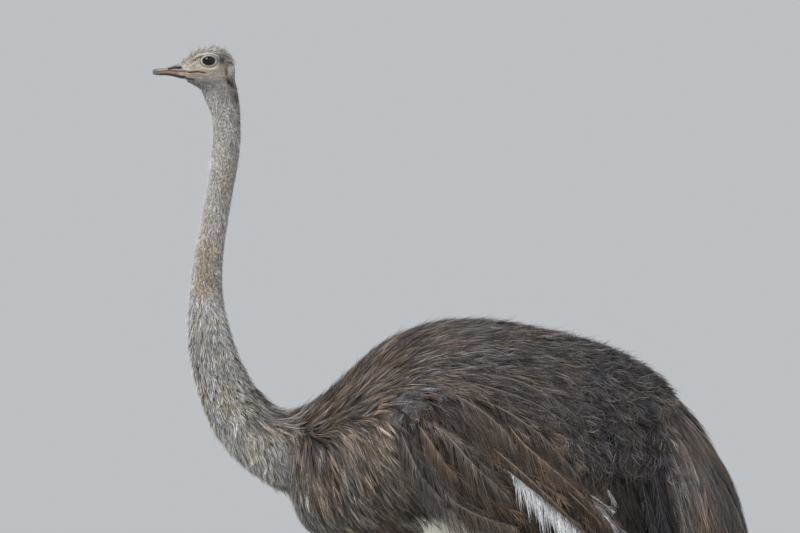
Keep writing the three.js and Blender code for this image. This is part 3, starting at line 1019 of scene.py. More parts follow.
def bill_relief(p, n, upper):
    """How far the horn stands out: fine streaks, the nostril and the edges' grooves."""
    x, y, z = p.T
    rough = 0.00012 * np.sin(2600 * x + 3 * np.sin(500 * z)) * np.sin(400 * y)
    if not upper:
        edge = np.interp(x, BILL_X, BILL_UNDER) + 0.0035
        return rough - 0.0007 * bump(z, edge, 0.0010) * ramp(x, -0.74, -0.72)
    slit = line_distance(p, NOSTRIL_LINE)
    pit = -0.0036 * bump(slit, 0, 0.0021) - 0.0008 * bump(slit, 0, 0.0046) + 0.0007 * bump(z, 1.7882, 0.0012)
    rough += pit * ramp(np.abs(y), 0.004, 0.010) * (n[:, 2] > -0.2)
    return rough - 0.0006 * bump(np.abs(y), 0.009, 0.0016) * ramp(x, -0.742, -0.736) * (n[:, 2] > 0.3)


def build_bill(upper):
    """One half of the horn; its rings lie closer together at the tip."""
    s = np.linspace(0, 1, BILL_RINGS)[:, None]
    x = BILL_X[0] + s ** 1.8 * (BILL_X[-1] - BILL_X[0])
    top, gape, under, half = profiles(x, BILL_X, BILL_TOP, BILL_GAPE, BILL_UNDER, BILL_HALF)
    a = angles(BILL_AROUND, 0.5)
    across, lift = np.cos(a), np.sin(a)
    v = np.sign(across) * np.abs(across) ** 0.85
    if upper:
        ridge = ramp(x, -0.743, -0.725) * (1 - 0.5 * ramp(x, -0.70, -0.68))
        roof = np.abs(lift) ** 0.9 * (0.78 + 0.22 * (1 - ridge)) + 0.22 * ridge * bump(across, 0, 0.26)
        z = gape + UPPER_GAP + np.where(lift > 0, (top - gape) * roof, 0.001 * lift)
        y = v * half
    else:
        keel = np.abs(lift) ** 0.75
        z = gape - LOWER_GAP - np.where(lift < 0, (gape - under) * keel, 0.0008 * lift)
        y = v * (half - LOWER_INSET)
    flat = np.stack([x + 0 * z, y, z], -1).reshape(-1, 3)
    n = np.stack([0 * z, across + 0 * z, lift + 0 * z], -1).reshape(-1, 3)
    flat = flat + n * bill_relief(flat, n, upper)[:, None]
    flat = np.concatenate([flat, [[BILL_X[0] + 0.0001, 0, z[0].mean()], [BILL_X[-1], 0, z[-1].mean()]]])
    name = "bill_upper_horn" if upper else "bill_lower_horn"
    obj = new_object(name, flat, capped(BILL_RINGS, BILL_AROUND))
    set_tint(obj, bill_marks(flat, upper))
    return obj


# A claw's side view and half its width, by the way ahead of its root; it starts inside the toe.
CLAW_AHEAD = [-0.0140, -0.0060, 0.0, 0.0120, 0.0240, 0.0340, 0.0400, 0.0416]
CLAW_TOP = [0.0190, 0.0262, 0.0292, 0.0284, 0.0236, 0.0172, 0.0122, 0.0094]
CLAW_UNDER = [0.0110, 0.0080, 0.0066, 0.0056, 0.0048, 0.0050, 0.0062, 0.0084]
CLAW_HALF = [0.0080, 0.0120, 0.0134, 0.0126, 0.0104, 0.0070, 0.0042, 0.0010]
CLAW_RINGS, CLAW_AROUND = 60, 64


def build_claw(node):
    """A blunt nail, arched above and nearly flat below, with fine growth rings."""
    low, high = node_box(node)
    s = np.linspace(0, 1, CLAW_RINGS)[:, None]
    ahead = CLAW_AHEAD[0] + (1 - (1 - s) ** 1.5) * (CLAW_AHEAD[-1] - CLAW_AHEAD[0])
    top, under, half = profiles(ahead, CLAW_AHEAD, CLAW_TOP, CLAW_UNDER, CLAW_HALF)
    a = angles(CLAW_AROUND, 0.5)
    across, lift = np.cos(a), np.sin(a)
    middle = under + 0.42 * (top - under)
    arch = np.where(lift > 0, (top - middle) * np.abs(lift) ** 0.95, -(middle - under) * np.abs(lift) ** 0.7)
    rings = 1 + 0.010 * np.sin(1500 * ahead + 2.0 * np.sin(260 * ahead)) * ramp(ahead, 0, 0.004)
    uneven = rings * (1 + 0.008 * np.sin(17 * a) * ramp(ahead, 0.038, 0.030))
    x = high[0] - ahead + 0 * arch
    y = (low[1] + high[1]) / 2 + half * np.sign(across) * np.abs(across) ** 0.85 * uneven
    z = middle + arch * uneven
    flat = np.stack([x, y, z], -1).reshape(-1, 3)
    ends = [[x[i, 0], y[i].mean(), z[i].mean()] for i in (0, -1)]
    return new_object(node + "_horn", np.concatenate([flat, ends]), capped(CLAW_RINGS, CLAW_AROUND))


def add_lids(points, faces):
    tree = BVHTree.FromPolygons(points.tolist(), triangles(faces).tolist())
    quads = ring_faces(len(LID_STEPS), LID_AROUND)
    return join_mesh([(points, faces)] + [(build_lids(side, tree), [quads[:, ::side]]) for side in (-1, 1)])


def feathered(p):
    """1 where the coat hides the skin."""
    return (1 - bareness(leg_field.at(p), p[:, 2])) * (1 - 0.75 * ramp(p[:, 2], NECK_TOP, NECK_TOP + 0.03))


def build_skin_piece(points, faces):
    """The skin with its markings, with painted shade where the coat covers it, and darker between its
    plates.
    """
    piece = new_object("skin", points, faces)
    hidden = feathered(points) * np.interp(points[:, 0], [CHEST_X - 0.08, CHEST_X + 0.04], [0.5, 0.8])
    groove, plates = plate_grooves(points, vertex_normals(points, triangles(faces)))
    shanks = on_leg(points)
    set_tint(piece, paint(markings(points), (0.0, hidden), (0.55, groove * shanks)))
    set_attribute(piece, "scaly", ramp(points[:, 2], 0.62, 0.50) * shanks * (1 - 0.85 * plates))
    return piece


bare_points, bare_faces = build_skin()  # before the lids are added
eyes = [build_eye("eyeball_left", -1), build_eye("eyeball_right", 1)]
bills = [build_bill(True), build_bill(False)]
claws = [build_claw(node) for node in CLAWS]
skin = build_skin_piece(*add_lids(bare_points, bare_faces))

# ---- Coat: where it grows and which way it lies ----

# Places in the side view and the angle that feathers point there, in degrees.
LIE = np.array([
    (-0.66, 1.81, 12), (-0.62, 1.83, 5), (-0.58, 1.84, -20), (-0.55, 1.81, -55), (-0.54, 1.77, -80),
    (-0.63, 1.80, 5), (-0.62, 1.77, -12), (-0.60, 1.75, -40), (-0.64, 1.765, -15), (-0.58, 1.70, -84),
    (-0.55, 1.70, -88), (-0.57, 1.50, -92), (-0.61, 1.30, -92), (-0.60, 1.10, -80), (-0.55, 1.00, -68),
    (-0.50, 0.90, -62), (-0.44, 0.90, -48), (-0.46, 0.80, -60), (-0.41, 0.925, 8), (-0.37, 0.935, 30),
    (-0.30, 0.985, 45), (-0.22, 1.06, 44), (-0.15, 1.11, 30), (-0.08, 1.14, 12), (0.02, 1.155, 0),
    (0.15, 1.14, -6), (0.30, 1.105, -16), (0.40, 1.07, -28), (0.48, 1.01, -44), (0.56, 0.92, -60),
    (0.61, 0.83, -70), (0.65, 0.72, -76), (0.68, 0.60, -80), (0.69, 0.50, -85), (-0.38, 0.85, -72),
    (-0.31, 0.905, 15), (-0.28, 0.87, -45), (-0.35, 0.80, -74), (-0.33, 0.70, -72), (-0.23, 0.84, -58),
    (-0.20, 0.76, -63), (-0.25, 0.65, -60), (-0.15, 0.90, -52), (-0.15, 1.00, 8), (-0.20, 0.96, 10),
    (-0.13, 0.70, -55), (-0.10, 0.62, -50), (0.35, 0.95, -34), (0.45, 0.90, -55), (0.47, 0.80, -68),
    (0.40, 0.75, -62), (0.0, 0.62, -20), (0.20, 0.66, -30), (0.40, 0.70, -58), (0.0, 1.0, -22),
    (0.1, 0.9, -38), (0.0, 0.8, -40), (0.2, 1.0, -24), (0.25, 0.8, -42), (-0.08, 0.85, -55)])


def lie(p):
    """The way feathers point at p, before it is laid along the surface."""
    d = (p[..., 0, None] - LIE[:, 0]) ** 2 + (p[..., 2, None] - LIE[:, 1]) ** 2
    w = (d + 0.0004) ** -1.6
    angle = np.radians(LIE[:, 2])
    out = np.zeros(p.shape)
    out[..., 0] = (w * np.cos(angle)).sum(-1)
    out[..., 2] = (w * np.sin(angle)).sum(-1)
    return unit(out)


# Masks, 1 where a kind of coat grows and 0 where it doesn't.


def is_wing(p):
    return ramp(wing_field.at(p), 0.008, 0.002)


def is_bare(p):
    leg = ramp(leg_field.at(p), 0.03, 0.004) * ramp(p[:, 2], BARE_Z + 0.02, BARE_Z - 0.01)
    return np.clip(leg + (p[:, 2] < 0.50) * (p[:, 0] < 0.45), 0, 1)


def off_neck(p):
    return past_neck(p, 0.05, 9, -0.045, 0.035)


def on_trunk(p):
    """1 on the body's own coat."""
    return (1 - is_wing(p)) * (1 - is_bare(p)) * off_neck(p)


def trunk(low, high, *edge):
    """The mask of the body's own coat between two x; edge is a height to start at and one to reach."""
    return lambda p: on_trunk(p) * within(p[:, 0], low, high) * (ramp(p[:, 2], *edge) if edge else 1)


def trunk_behind(start, end):
    """The mask of the body's own coat from an x backwards."""
    return lambda p: on_trunk(p) * ramp(p[:, 0], start, end)


def on_hem(p):
    return is_wing(p) * within(p[:, 0], -0.01, 0.22) * ramp(p[:, 2], 0.74, 0.71)


def on_shoulder(p):
    """Where loose down shows on the shoulder."""
    return ramp(np.maximum(spot(p, -0.125, 0.975, 0.040), spot(p, -0.035, 0.997, 0.026, 0.018)), 0.1, 0.8)


def on_fringe(p):
    """1 on the underside of the neck's base, where the down hangs in separate tufts."""
    down = ramp(-outer.slope(p)[:, 2], 0.25, 0.45)
    return down * within(p[:, 2], 0.74, 0.86) * within(p[:, 0], -0.56, -0.41)


def on_neck_foot(p):
    return within(p[:, 2], 0.76, 0.92) * within(p[:, 0], -0.54, -0.395)


def on_low_neck(p):
    return (1 - off_neck(p)) * (p[:, 2] < 1.23 + 0.012 * waves(p, 0.03, 12)) * (1 - 0.8 * on_fringe(p))


def on_high_neck(p):
    return (p[:, 0] < SLENDER_X) * (p[:, 2] > 1.20 + 0.012 * waves(p, 0.03, 12)) * (p[:, 2] < 1.755)


corners = [outer_points[outer_quads[:, k]] for k in range(4)]
QUAD_AREA = 0.5 * np.linalg.norm(np.cross(corners[2] - corners[0], corners[3] - corners[1]), axis=1)
QUAD_MIDDLE = sum(corners) / 4


def scatter(where, count, cell, seed, side=0):
    """Root points on the outline, or on one side of it, where the mask says, no two in one cell."""
    rng = np.random.default_rng(seed)
    weight = QUAD_AREA * where(QUAD_MIDDLE) * ((side == 0) | (QUAD_MIDDLE[:, 1] * side > 0))
    pick = rng.choice(len(weight), count, p=weight / weight.sum())
    a, b = rng.random((2, count, 1))
    q = [c[pick] for c in corners]
    p = (q[0] * (1 - a) + q[1] * a) * (1 - b) + (q[3] * (1 - a) + q[2] * a) * b
    _, first = np.unique(np.floor(p / cell).astype(int), axis=0, return_index=True)
    return p[np.sort(first)]


def frame_along(spine, up):
    """Spines, with the directions across them and up from them."""
    along = np.gradient(spine, axis=1)
    across = unit(np.cross(up, along))
    return spine, across, unit(np.cross(along, across))


def walk(roots, length, steps, turn, curl, sink, lift, sail, field=None, hang=0.0):
    """Spines that run from the roots along the lie, from sink below the outline to lift above it."""
    field = field or outer
    p = roots - field.slope(roots) * (sink + field.at(roots))[:, None]
    spine, up = [], []
    for k in range(steps + 1):
        n = field.slope(p)
        n = unit(np.where((n * n).sum(-1, keepdims=True) > 0.5, n, up[-1] if up else n))
        spine.append(p)
        up.append(n)
        f = (k + 1) / steps
        t = lie(p)
        t = unit(t - n * (t * n).sum(-1, keepdims=True))
        a = (turn + curl * f)[:, None]
        t = t * np.cos(a) + np.cross(n, t) * np.sin(a)
        t = unit(t * (1 - hang * f) + np.array([0, 0, -hang * f]))
        p = p + t * (length / steps)[:, None]
        push = lift * f ** 1.5 - sink * (1 - f) ** 1.5 - field.at(p)
        p = p + n * np.where(push < 0, push * sail * (1 - hang), push)[:, None]
    return frame_along(np.stack(spine, 1), np.stack(up, 1))


def on_spine(values, u):
    """Values along each spine at the shares u, which may have more axes."""
    steps = values.shape[1] - 1
    g = np.clip(u, 0, 1) * steps
    i = np.minimum(g.astype(int), steps - 1)
    f = (g - i)[..., None]
    row = np.arange(len(values)).reshape((-1,) + (1,) * (u.ndim - 1))
    return values[row, i] * (1 - f) + values[row, i + 1] * f


# ---- Coat: its pieces ----

PATCH = 0.003  # the side of each tuft's place on the OFBake map


def paired(left, right, tip):
    """Two rows of values side by side, then the tip's, in the order of a ribbon's points."""
    pairs = np.stack([left, right], 2)
    pairs = pairs.reshape(len(left), -1, left.shape[-1])
    return np.concatenate([pairs, tip], 1).reshape(-1, left.shape[-1])


class Coat:
    """One coat piece, gathered ribbon by ribbon."""

    def __init__(self, name, unwrap):
        self.name, self.unwrap = name, unwrap
        self.points, self.quads, self.tips, self.colour, self.uv = [], [], [], [], []
        self.start = 0

    def add(self, centre, side, width, colour, home, slot, slots):
        """Tapered ribbons (n, stations, 3), coloured at each station; home is each one's root place."""
        n, stations = centre.shape[:2]
        half = side * (width / 2)[..., None]
        self.points.append(paired((centre - half)[:, :-1], (centre + half)[:, :-1], centre[:, -1:]))
        self.colour.append(paired(colour[:, :-1], colour[:, :-1], colour[:, -1:]))
        each = 2 * stations - 1
        base = self.start + np.arange(n)[:, None, None] * each
        k = np.arange(stations - 2)[:, None] * 2
        self.quads.append((base + (k + np.array([0, 1, 3, 2]))).reshape(-1, 4))
        self.tips.append(base[:, 0] + np.array([each - 3, each - 2, each - 1]))
        self.start += n * each
        # Each ribbon gets its own strip of the tuft's small patch.
        place = self.unwrap(home)
        strip = PATCH / slots
        low = (place[:, 0] - PATCH / 2 + slot * strip)[:, None]
        rise = place[:, 1, None] + PATCH * (np.arange(stations) / (stations - 1) - 0.5)
        left, right = (np.stack([low + x + 0 * rise[:, :-1], rise[:, :-1]], -1) for x in (0, 0.8 * strip))
        self.uv.append(paired(left, right, np.stack([low + 0.4 * strip, rise[:, -1:]], -1)))

    def build(self, material, slot):
        faces = [np.concatenate(self.tips), np.concatenate(self.quads)]
        obj = new_object(self.name, np.concatenate(self.points), faces)
        set_tint(obj, np.concatenate(self.colour))
        layer = obj.data.uv_layers.new(name="OFBake")
        order = np.concatenate([f.ravel() for f in faces])
        layer.data.foreach_set("uv", np.concatenate(self.uv)[order].astype(np.float32).ravel())
        obj.data.materials.append(material)
        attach(obj, "root")


# The neck's middle line.
NECK_Z = [0.80, 0.87, 0.93, 1.02, 1.12, 1.21, 1.33, 1.46, 1.58, 1.65, 1.74, 1.85]
NECK_X = [-0.43, -0.48, -0.535, -0.58, -0.606, -0.615, -0.608, -0.584, -0.566, -0.563, -0.575, -0.60]


def on_map(turn, along, low, high):
    """Places on the OFBake map, by the angle round the form and the way along it."""
    v = np.clip((along - low) / (high - low), 0, 1)
    return np.stack([0.01 + 0.98 * (0.5 + turn / (2 * math.pi)), 0.01 + 0.98 * v], -1)


def unwrap_along_x(low, high, middle_z):
    """Unrolls a barrel that lies along X, cut along its belly."""
    return lambda p: on_map(np.arctan2(p[:, 1], p[:, 2] - middle_z), p[:, 0], low, high)


def neck_turn(p):
    """The angle round the neck's middle line."""
    return np.arctan2(p[:, 1], np.interp(p[:, 2], NECK_Z, NECK_X) - p[:, 0])


def unwrap_along_z(low, high):
    """Unrolls the neck or head, cut at the back."""
    return lambda p: on_map(neck_turn(p), p[:, 2], low, high)


WARM = np.array([1.16, 1.0, 0.82])
COOL = np.array([0.93, 0.97, 1.10])
BLEACHED = np.array([1.06, 1.0, 0.92])


def vary(tint, roots, rng, tone, hue):
    """Makes some tufts warmer or cooler, lighter or darker, in loose patches."""
    n = len(roots)
    c = markings(roots) if tint is None else np.broadcast_to(tint, (n, 3))
    mood = waves(roots, 0.055, 77) + rng.normal(0, 0.7, n)
    c = c * (1 + (WARM - 1) * (hue * ramp(mood, 0.0, 1.0))[:, None])
    c = c * (1 + (COOL - 1) * (hue * ramp(-mood, 0.0, 1.0))[:, None])
    light = tone * np.clip(rng.normal(0, 1, n), -2.2, 1.3) + 0.5 * tone * waves(roots, 0.04, 78)
    return c * np.exp(light)[:, None]


def faded(colour, gain):
    """Bright strands are paler, as if bleached."""
    plain = colour.mean(-1, keepdims=True) * BLEACHED
    return colour + (plain - colour) * (0.5 * ramp(gain, 0.9, 2.2))[..., None]


LOCK_STEPS = 6
PLUME_STEPS = 10
BRIGHTEST_GAIN = 2.1


def grow_locks(coat, roots, length, width, strands, seed, stations=4, sink=0.012, lift=0.004, turn=0.2,
               curl=0.3, bias=0.0, strand=0.0020, wave=0.1, clump=0.4, sail=0.25, shade=(0.20, 1.65),
               tone=0.48, hue=1.0, loose=0.004, rough=0.36, streak=0.12, field=None, tint=None, hang=0.0):
    """Tufts of several thin ribbons each."""
    rng = np.random.default_rng(seed)
    n = len(roots)
    length = length * rng.uniform(0.75, 1.2, n)
    lift = lift * rng.uniform(0.2, 1.8, n)
    width = np.broadcast_to(width, n)[:, None, None]
    turns = bias + rng.normal(0, 1, n) * turn
    curls = rng.normal(0, 1, n) * curl
    tuft = walk(roots, length, LOCK_STEPS, turns, curls, sink, lift, sail, field, hang)
    shape = (n, strands, 1)
    u = np.linspace(0, 1, stations)[None, None, :] * rng.uniform(0.6, 1.0, shape)
    start = rng.uniform(-0.5, 0.5, shape) * width
    end = start * (1 - clump) + rng.normal(0, 0.28 * (1 - 0.5 * clump), shape) * width
    phase = rng.uniform(0, 6.28, shape)
    swing = wave * width * np.sin(6.28 * u * rng.uniform(0.7, 1.6, shape) + phase) * u
    b = start + (end - start) * u ** 1.3 + swing
    h = rng.uniform(-1, 1, shape) * loose * (0.4 + u) + rng.normal(0, 0.5, shape) * loose * u ** 2
    c, s, t = (on_spine(v, u) for v in tuft)
    centre = c + s * b[..., None] + t * h[..., None]
    roll = rng.normal(0, 0.5, shape)
    side = s * np.cos(roll)[..., None] + t * np.sin(roll)[..., None]
    share = u / u[..., -1:]
    thick = strand * rng.uniform(0.7, 1.3, shape) * (1 - 0.75 * share ** 1.5)
    base = vary(tint, roots, rng, tone, hue)
    # Each strand darkens towards its root, which is painted shade under the tufts that overlap it, and
    # lightens towards its own paler tip.
    gain = (shade[0] + (shade[1] - shade[0]) * share ** 1.2) * np.exp(rng.normal(0, rough, shape))
    gain = np.minimum(gain * np.where(rng.random(shape) < streak, 1 + 0.8 * share, 1), BRIGHTEST_GAIN)
    colour = faded(base[:, None, None, :] * gain[..., None], gain)
    for k in range(strands):
        coat.add(centre[:, k], side[:, k], thick[:, k], colour[:, k], roots, k, strands)


FULL = (0.45, 0.9, 1.0, 0.8, 0.4)  # how long a plume's barbs are along it
SHAFT_END = 0.97


def dress_plumes(coat, spines, width, barbs, rng, barb=0.0018, droop=0.3, shade=(0.5, 1.2), tone=0.25,
                 hue=0.8, bright=0.35, tint=None, shaft=0.0026, hands=((-1, 1.0), (1, 1.0)), full=FULL,
                 tilt=(0.55, 0.95), ragged=(0.7, 1.2), clump=4, fray=0.12, rough=0.28):
    """A shaft, pale on some feathers, with loose barbs down one or both sides, in clumps."""
    spine = spines[0]
    n = len(spine)
    roots = spine[:, 0]
    ahead = unit(np.gradient(spine, axis=1))
    span = np.linalg.norm(np.diff(spine, axis=1), axis=-1).sum(1)[:, None]
    base = vary(tint, roots, rng, tone, hue)
    slots = 2 * barbs + 1
    u = np.broadcast_to(np.linspace(0, SHAFT_END, 9), (n, 9))
    c, s, t = (on_spine(v, u) for v in spines)
    pale = paint(base * 0.9, (SHAFT, np.where(rng.random(n) < bright, 0.75, 0.12)))[:, None, :]
    pale = pale * np.interp(u[0], [0, 0.15, 0.6, SHAFT_END], [0.55, 1, 0.85, 0.45])[None, :, None]
    coat.add(c + t * 0.0012, s, shaft * (1 - 0.8 * u), pale, roots, 2 * barbs, slots)
    v = np.linspace(0, 1, 4)[None, :]
    for hand, share in hands:
        knots = rng.normal(0, 1, (n, barbs // clump + 1, 2))
        for k in range(barbs):
            lean, light = (knots[:, k // clump, j, None] for j in range(2))
            root = 0.03 + 0.95 * (k + rng.uniform(0, 1, (n, 1))) / barbs
            middle = 0.03 + 0.95 * clump * (k // clump + 0.5) / barbs
            size = np.interp(root, [0, 0.12, 0.5, 0.85, 1.0], full) * rng.uniform(*ragged, (n, 1))
            reach = width * share * size * np.exp(fray * lean)
            lay = rng.uniform(*tilt, (n, 1)) - 0.25 * root + 0.08 * lean
            out = reach * (v * np.sin(lay) - 0.12 * v ** 2)
            along = reach * (v * np.cos(lay) + 0.25 * v ** 2) + 0.7 * (middle - root) * span * v ** 1.5
            rise = rng.normal(0.02, 0.06, (n, 1)) * reach * v
            c, s, t, way = (on_spine(x, root) for x in (*spines, ahead))
            centre = c + s * (hand * out)[..., None] + way * along[..., None] + t * rise[..., None]
            centre[..., 2] -= droop * reach * v ** 2
            edge = unit(s * along[:, -1:, None] - way * (hand * out[:, -1:])[..., None])
            edge = np.broadcast_to(edge, centre.shape)
            light = rough * (0.7 * light + rng.normal(0, 1, (n, 1)))
            colour = base[:, None] * ((shade[0] + (shade[1] - shade[0]) * v) * np.exp(light))[..., None]
            thick = barb * (1 - 0.7 * v) * np.ones((n, 1))
            coat.add(centre, edge, thick, colour, roots, k + (barbs if hand > 0 else 0), slots)


def grow_plumes(coat, roots, length, width, barbs, seed, lift=0.006, turn=0.06, curl=0.12, **looks):
    """Long feathers that follow the lie of the coat."""
    rng = np.random.default_rng(seed)
    n = len(roots)
    length = length * rng.uniform(0.9, 1.1, n)
    turns = rng.normal(0, 1, n) * turn
    curls = rng.normal(0, 1, n) * curl
    spines = walk(roots, length, PLUME_STEPS, turns, curls, sink=0.012, lift=lift, sail=0.1)
    dress_plumes(coat, spines, width, barbs, rng, **looks)


ROUTE_Y = 0.29  # routes are drawn out here, then laid on the outline


def lay_plumes(coat, routes, side, width, barbs, seed, lift=0.008, **looks):
    """Long feathers along drawn routes, (x, z) points in the side view, laid on the outline."""
    spine = []
    for route in routes:
        route = np.array(route)
        reach = np.concatenate([[0], np.cumsum(np.hypot(*np.diff(route, axis=0).T))])
        t = np.linspace(0, reach[-1], PLUME_STEPS + 1)
        xz = np.stack([np.interp(t, reach, route[:, k]) for k in range(2)], -1)
        for _ in range(2):
            xz[1:-1] = 0.25 * xz[:-2] + 0.5 * xz[1:-1] + 0.25 * xz[2:]
        p = np.column_stack([xz[:, 0], np.full(len(t), side * ROUTE_Y), xz[:, 1]])
        for _ in range(30):
            p[:, 1] -= side * 0.7 * (outer.at(p) - lift)
        p[1:-1, 1] = 0.25 * p[:-2, 1] + 0.5 * p[1:-1, 1] + 0.25 * p[2:, 1]
        spine.append(p)
    spines = frame_along(np.array(spine), np.array([0, side, 0]))
    dress_plumes(coat, spines, width, barbs, np.random.default_rng(seed), **looks)


def body_tint(p):
    """The markings, with the neck's pale colours held back to the body's own range."""
    return np.minimum(markings(p), BRIGHTEST)


SKIRT_PLUMES = 34
SKIRT_STEP = np.array([0.004, 0, -0.019])


def skirt_spines(side):
    """Plumes that hang under the root of the tail."""
    rng = np.random.default_rng(61)
    spans = ((0.39, 0.53, 1), (0.01, 0.17, side), (0.72, 0.80, 1))
    low = np.column_stack([way * rng.uniform(a, b, SKIRT_PLUMES) for a, b, way in spans])
    low = low - outer.slope(low) * outer.at(low)[:, None]
    hang = np.stack([low + k * SKIRT_STEP for k in range(PLUME_STEPS + 1)], 1)
    return frame_along(hang, np.array([0, side, 0])), rng


def body_coat(side, word):
    """The coat pieces of one side of the body, one by one."""
    body = unwrap_along_x(-0.5, 0.8, 0.88)

    coat = Coat("coat_breast_" + word, body)
    roots = scatter(trunk(-0.5, -0.10, 0.95, 0.90), 7000, 0.0088, 11, side)
    grow_locks(coat, roots, 0.086, 0.011, 6, 12, curl=0.12, turn=0.12, clump=0.6, tone=0.75, rough=0.25,
               wave=0.05, tint=body_tint(roots))
    yield coat

    coat = Coat("coat_mantle_" + word, body)
    roots = scatter(trunk(-0.5, -0.02, 0.87, 0.93), 4200, 0.0092, 15, side)
    grow_locks(coat, roots, 0.125, 0.013, 8, 16, curl=0.15, turn=0.12, lift=0.008, clump=0.65, tone=0.8,
               rough=0.25, tint=body_tint(roots))
    yield coat

    coat = Coat("coat_back_" + word, body)
    roots = scatter(trunk(-0.06, 0.30), 6500, 0.0095, 21, side)
    length = np.interp(roots[:, 2], [0.7, 0.9, 1.1], [0.07, 0.08, 0.095])
    grow_locks(coat, roots, length, 0.017, 7, 22, curl=0.3, turn=0.2, lift=0.008, clump=0.5, tone=0.7,
               rough=0.25)
    yield coat

    # A few loose wisps break the back's outline.
    coat = Coat("coat_wisps_" + word, body)
    roots = scatter(trunk(-0.40, 0.50, 0.86, 0.98), 260, 0.02, 25, side)
    grow_locks(coat, roots, 0.085, 0.012, 5, 26, curl=0.5, turn=0.35, lift=0.018, clump=0.0, sail=1.0,
               strand=0.0012, loose=0.006, shade=(0.7, 1.6), sink=0.0, tint=body_tint(roots))
    yield coat

    coat = Coat("coat_rump_" + word, body)
    roots = scatter(trunk(0.28, 0.52), 4400, 0.0105, 31, side)
    length = 0.055 + 0.03 * ramp(roots[:, 2], 0.95, 0.75)
    grow_locks(coat, roots, length, 0.024, 8, 32, curl=0.9, turn=0.45, clump=0.2, wave=0.3, loose=0.008,
               lift=0.009, tone=0.7, rough=0.22, streak=0.0)
    yield coat

    coat = Coat("coat_tail_" + word, body)
    roots = scatter(trunk_behind(0.485, 0.53), 2300, 0.014, 51, side)
    grow_locks(coat, roots, 0.19, 0.016, 8, 52, stations=5, curl=0.10, turn=0.08, clump=0.6, streak=0.06)
    roots = scatter(trunk_behind(0.54, 0.58), 300, 0.06, 53, side)
    grow_plumes(coat, roots, 0.24, 0.045, 34, 54, droop=0.5, bright=0.3)
    yield coat

    coat = Coat("coat_skirt_" + word, body)
    spines, rng = skirt_spines(side)
    dress_plumes(coat, spines, 0.034, 34, rng, droop=0.6, bright=0.0, tint=RUMP * 0.5, tone=0.35)
    yield coat


# The wing's main shafts and the white and grey plumes below them, as (x, z) routes in the side view.
MAIN_SHAFTS = [
    [(-0.127, 0.892), (-0.099, 0.822), (-0.080, 0.785), (-0.052, 0.748), (-0.020, 0.720)],
    [(-0.085, 0.910), (-0.066, 0.887), (-0.043, 0.850), (-0.020, 0.813), (0.012, 0.785)],
    [(-0.032, 0.905), (0.000, 0.873), (0.054, 0.808), (0.091, 0.776), (0.140, 0.730)],
    [(0.006, 0.984), (0.036, 0.968), (0.073, 0.947), (0.110, 0.914), (0.137, 0.887), (0.160, 0.850)],
    [(0.073, 1.035), (0.119, 1.030), (0.165, 1.021), (0.211, 0.998), (0.258, 0.970), (0.327, 0.919)],
    [(0.056, 1.012), (0.100, 1.002), (0.151, 0.984), (0.202, 0.966), (0.239, 0.947), (0.327, 0.878)],
    [(0.082, 0.968), (0.119, 0.956), (0.160, 0.929), (0.230, 0.878), (0.285, 0.813), (0.318, 0.776)],
    [(0.139, 0.910), (0.151, 0.878), (0.197, 0.845), (0.276, 0.776), (0.327, 0.730), (0.400, 0.655)]]
EDGE_SHAFTS = [
    [(0.102, 0.852), (0.137, 0.822), (0.179, 0.790), (0.248, 0.720), (0.331, 0.642), (0.370, 0.605)],
    [(0.285, 0.744), (0.318, 0.716), (0.350, 0.683), (0.392, 0.642), (0.410, 0.620)]]
WHITE_SHAFTS = [
    [(0.137, 0.796), (0.160, 0.778), (0.188, 0.757), (0.248, 0.707), (0.340, 0.630), (0.365, 0.600)],
    [(0.150, 0.780), (0.190, 0.750), (0.245, 0.700), (0.325, 0.630), (0.350, 0.598)]]
WHITE_WISPS = [
    [(0.342, 0.735), (0.362, 0.722), (0.388, 0.702), (0.400, 0.692)],
    [(0.384, 0.748), (0.394, 0.730), (0.404, 0.708)]]
GREY_SHAFTS = [
    [(0.345, 0.725), (0.375, 0.690), (0.405, 0.655), (0.440, 0.625)],
    [(0.352, 0.712), (0.375, 0.680), (0.395, 0.652), (0.415, 0.618)]]
HEM_SHAFTS = [
    [(-0.085, 0.752), (-0.050, 0.722), (-0.010, 0.698), (0.040, 0.676), (0.080, 0.664)],
    [(0.005, 0.716), (0.050, 0.690), (0.100, 0.670), (0.160, 0.655)]]

WING_HEART_X, WING_HEART_Z = -0.205, 1.087  # the wing's shafts all point away from here
PLUMES_FROM = 0.17  # no long plume grows nearer to the heart


def heart_reach(p):
    return np.hypot(p[:, 0] - WING_HEART_X, p[:, 2] - WING_HEART_Z)


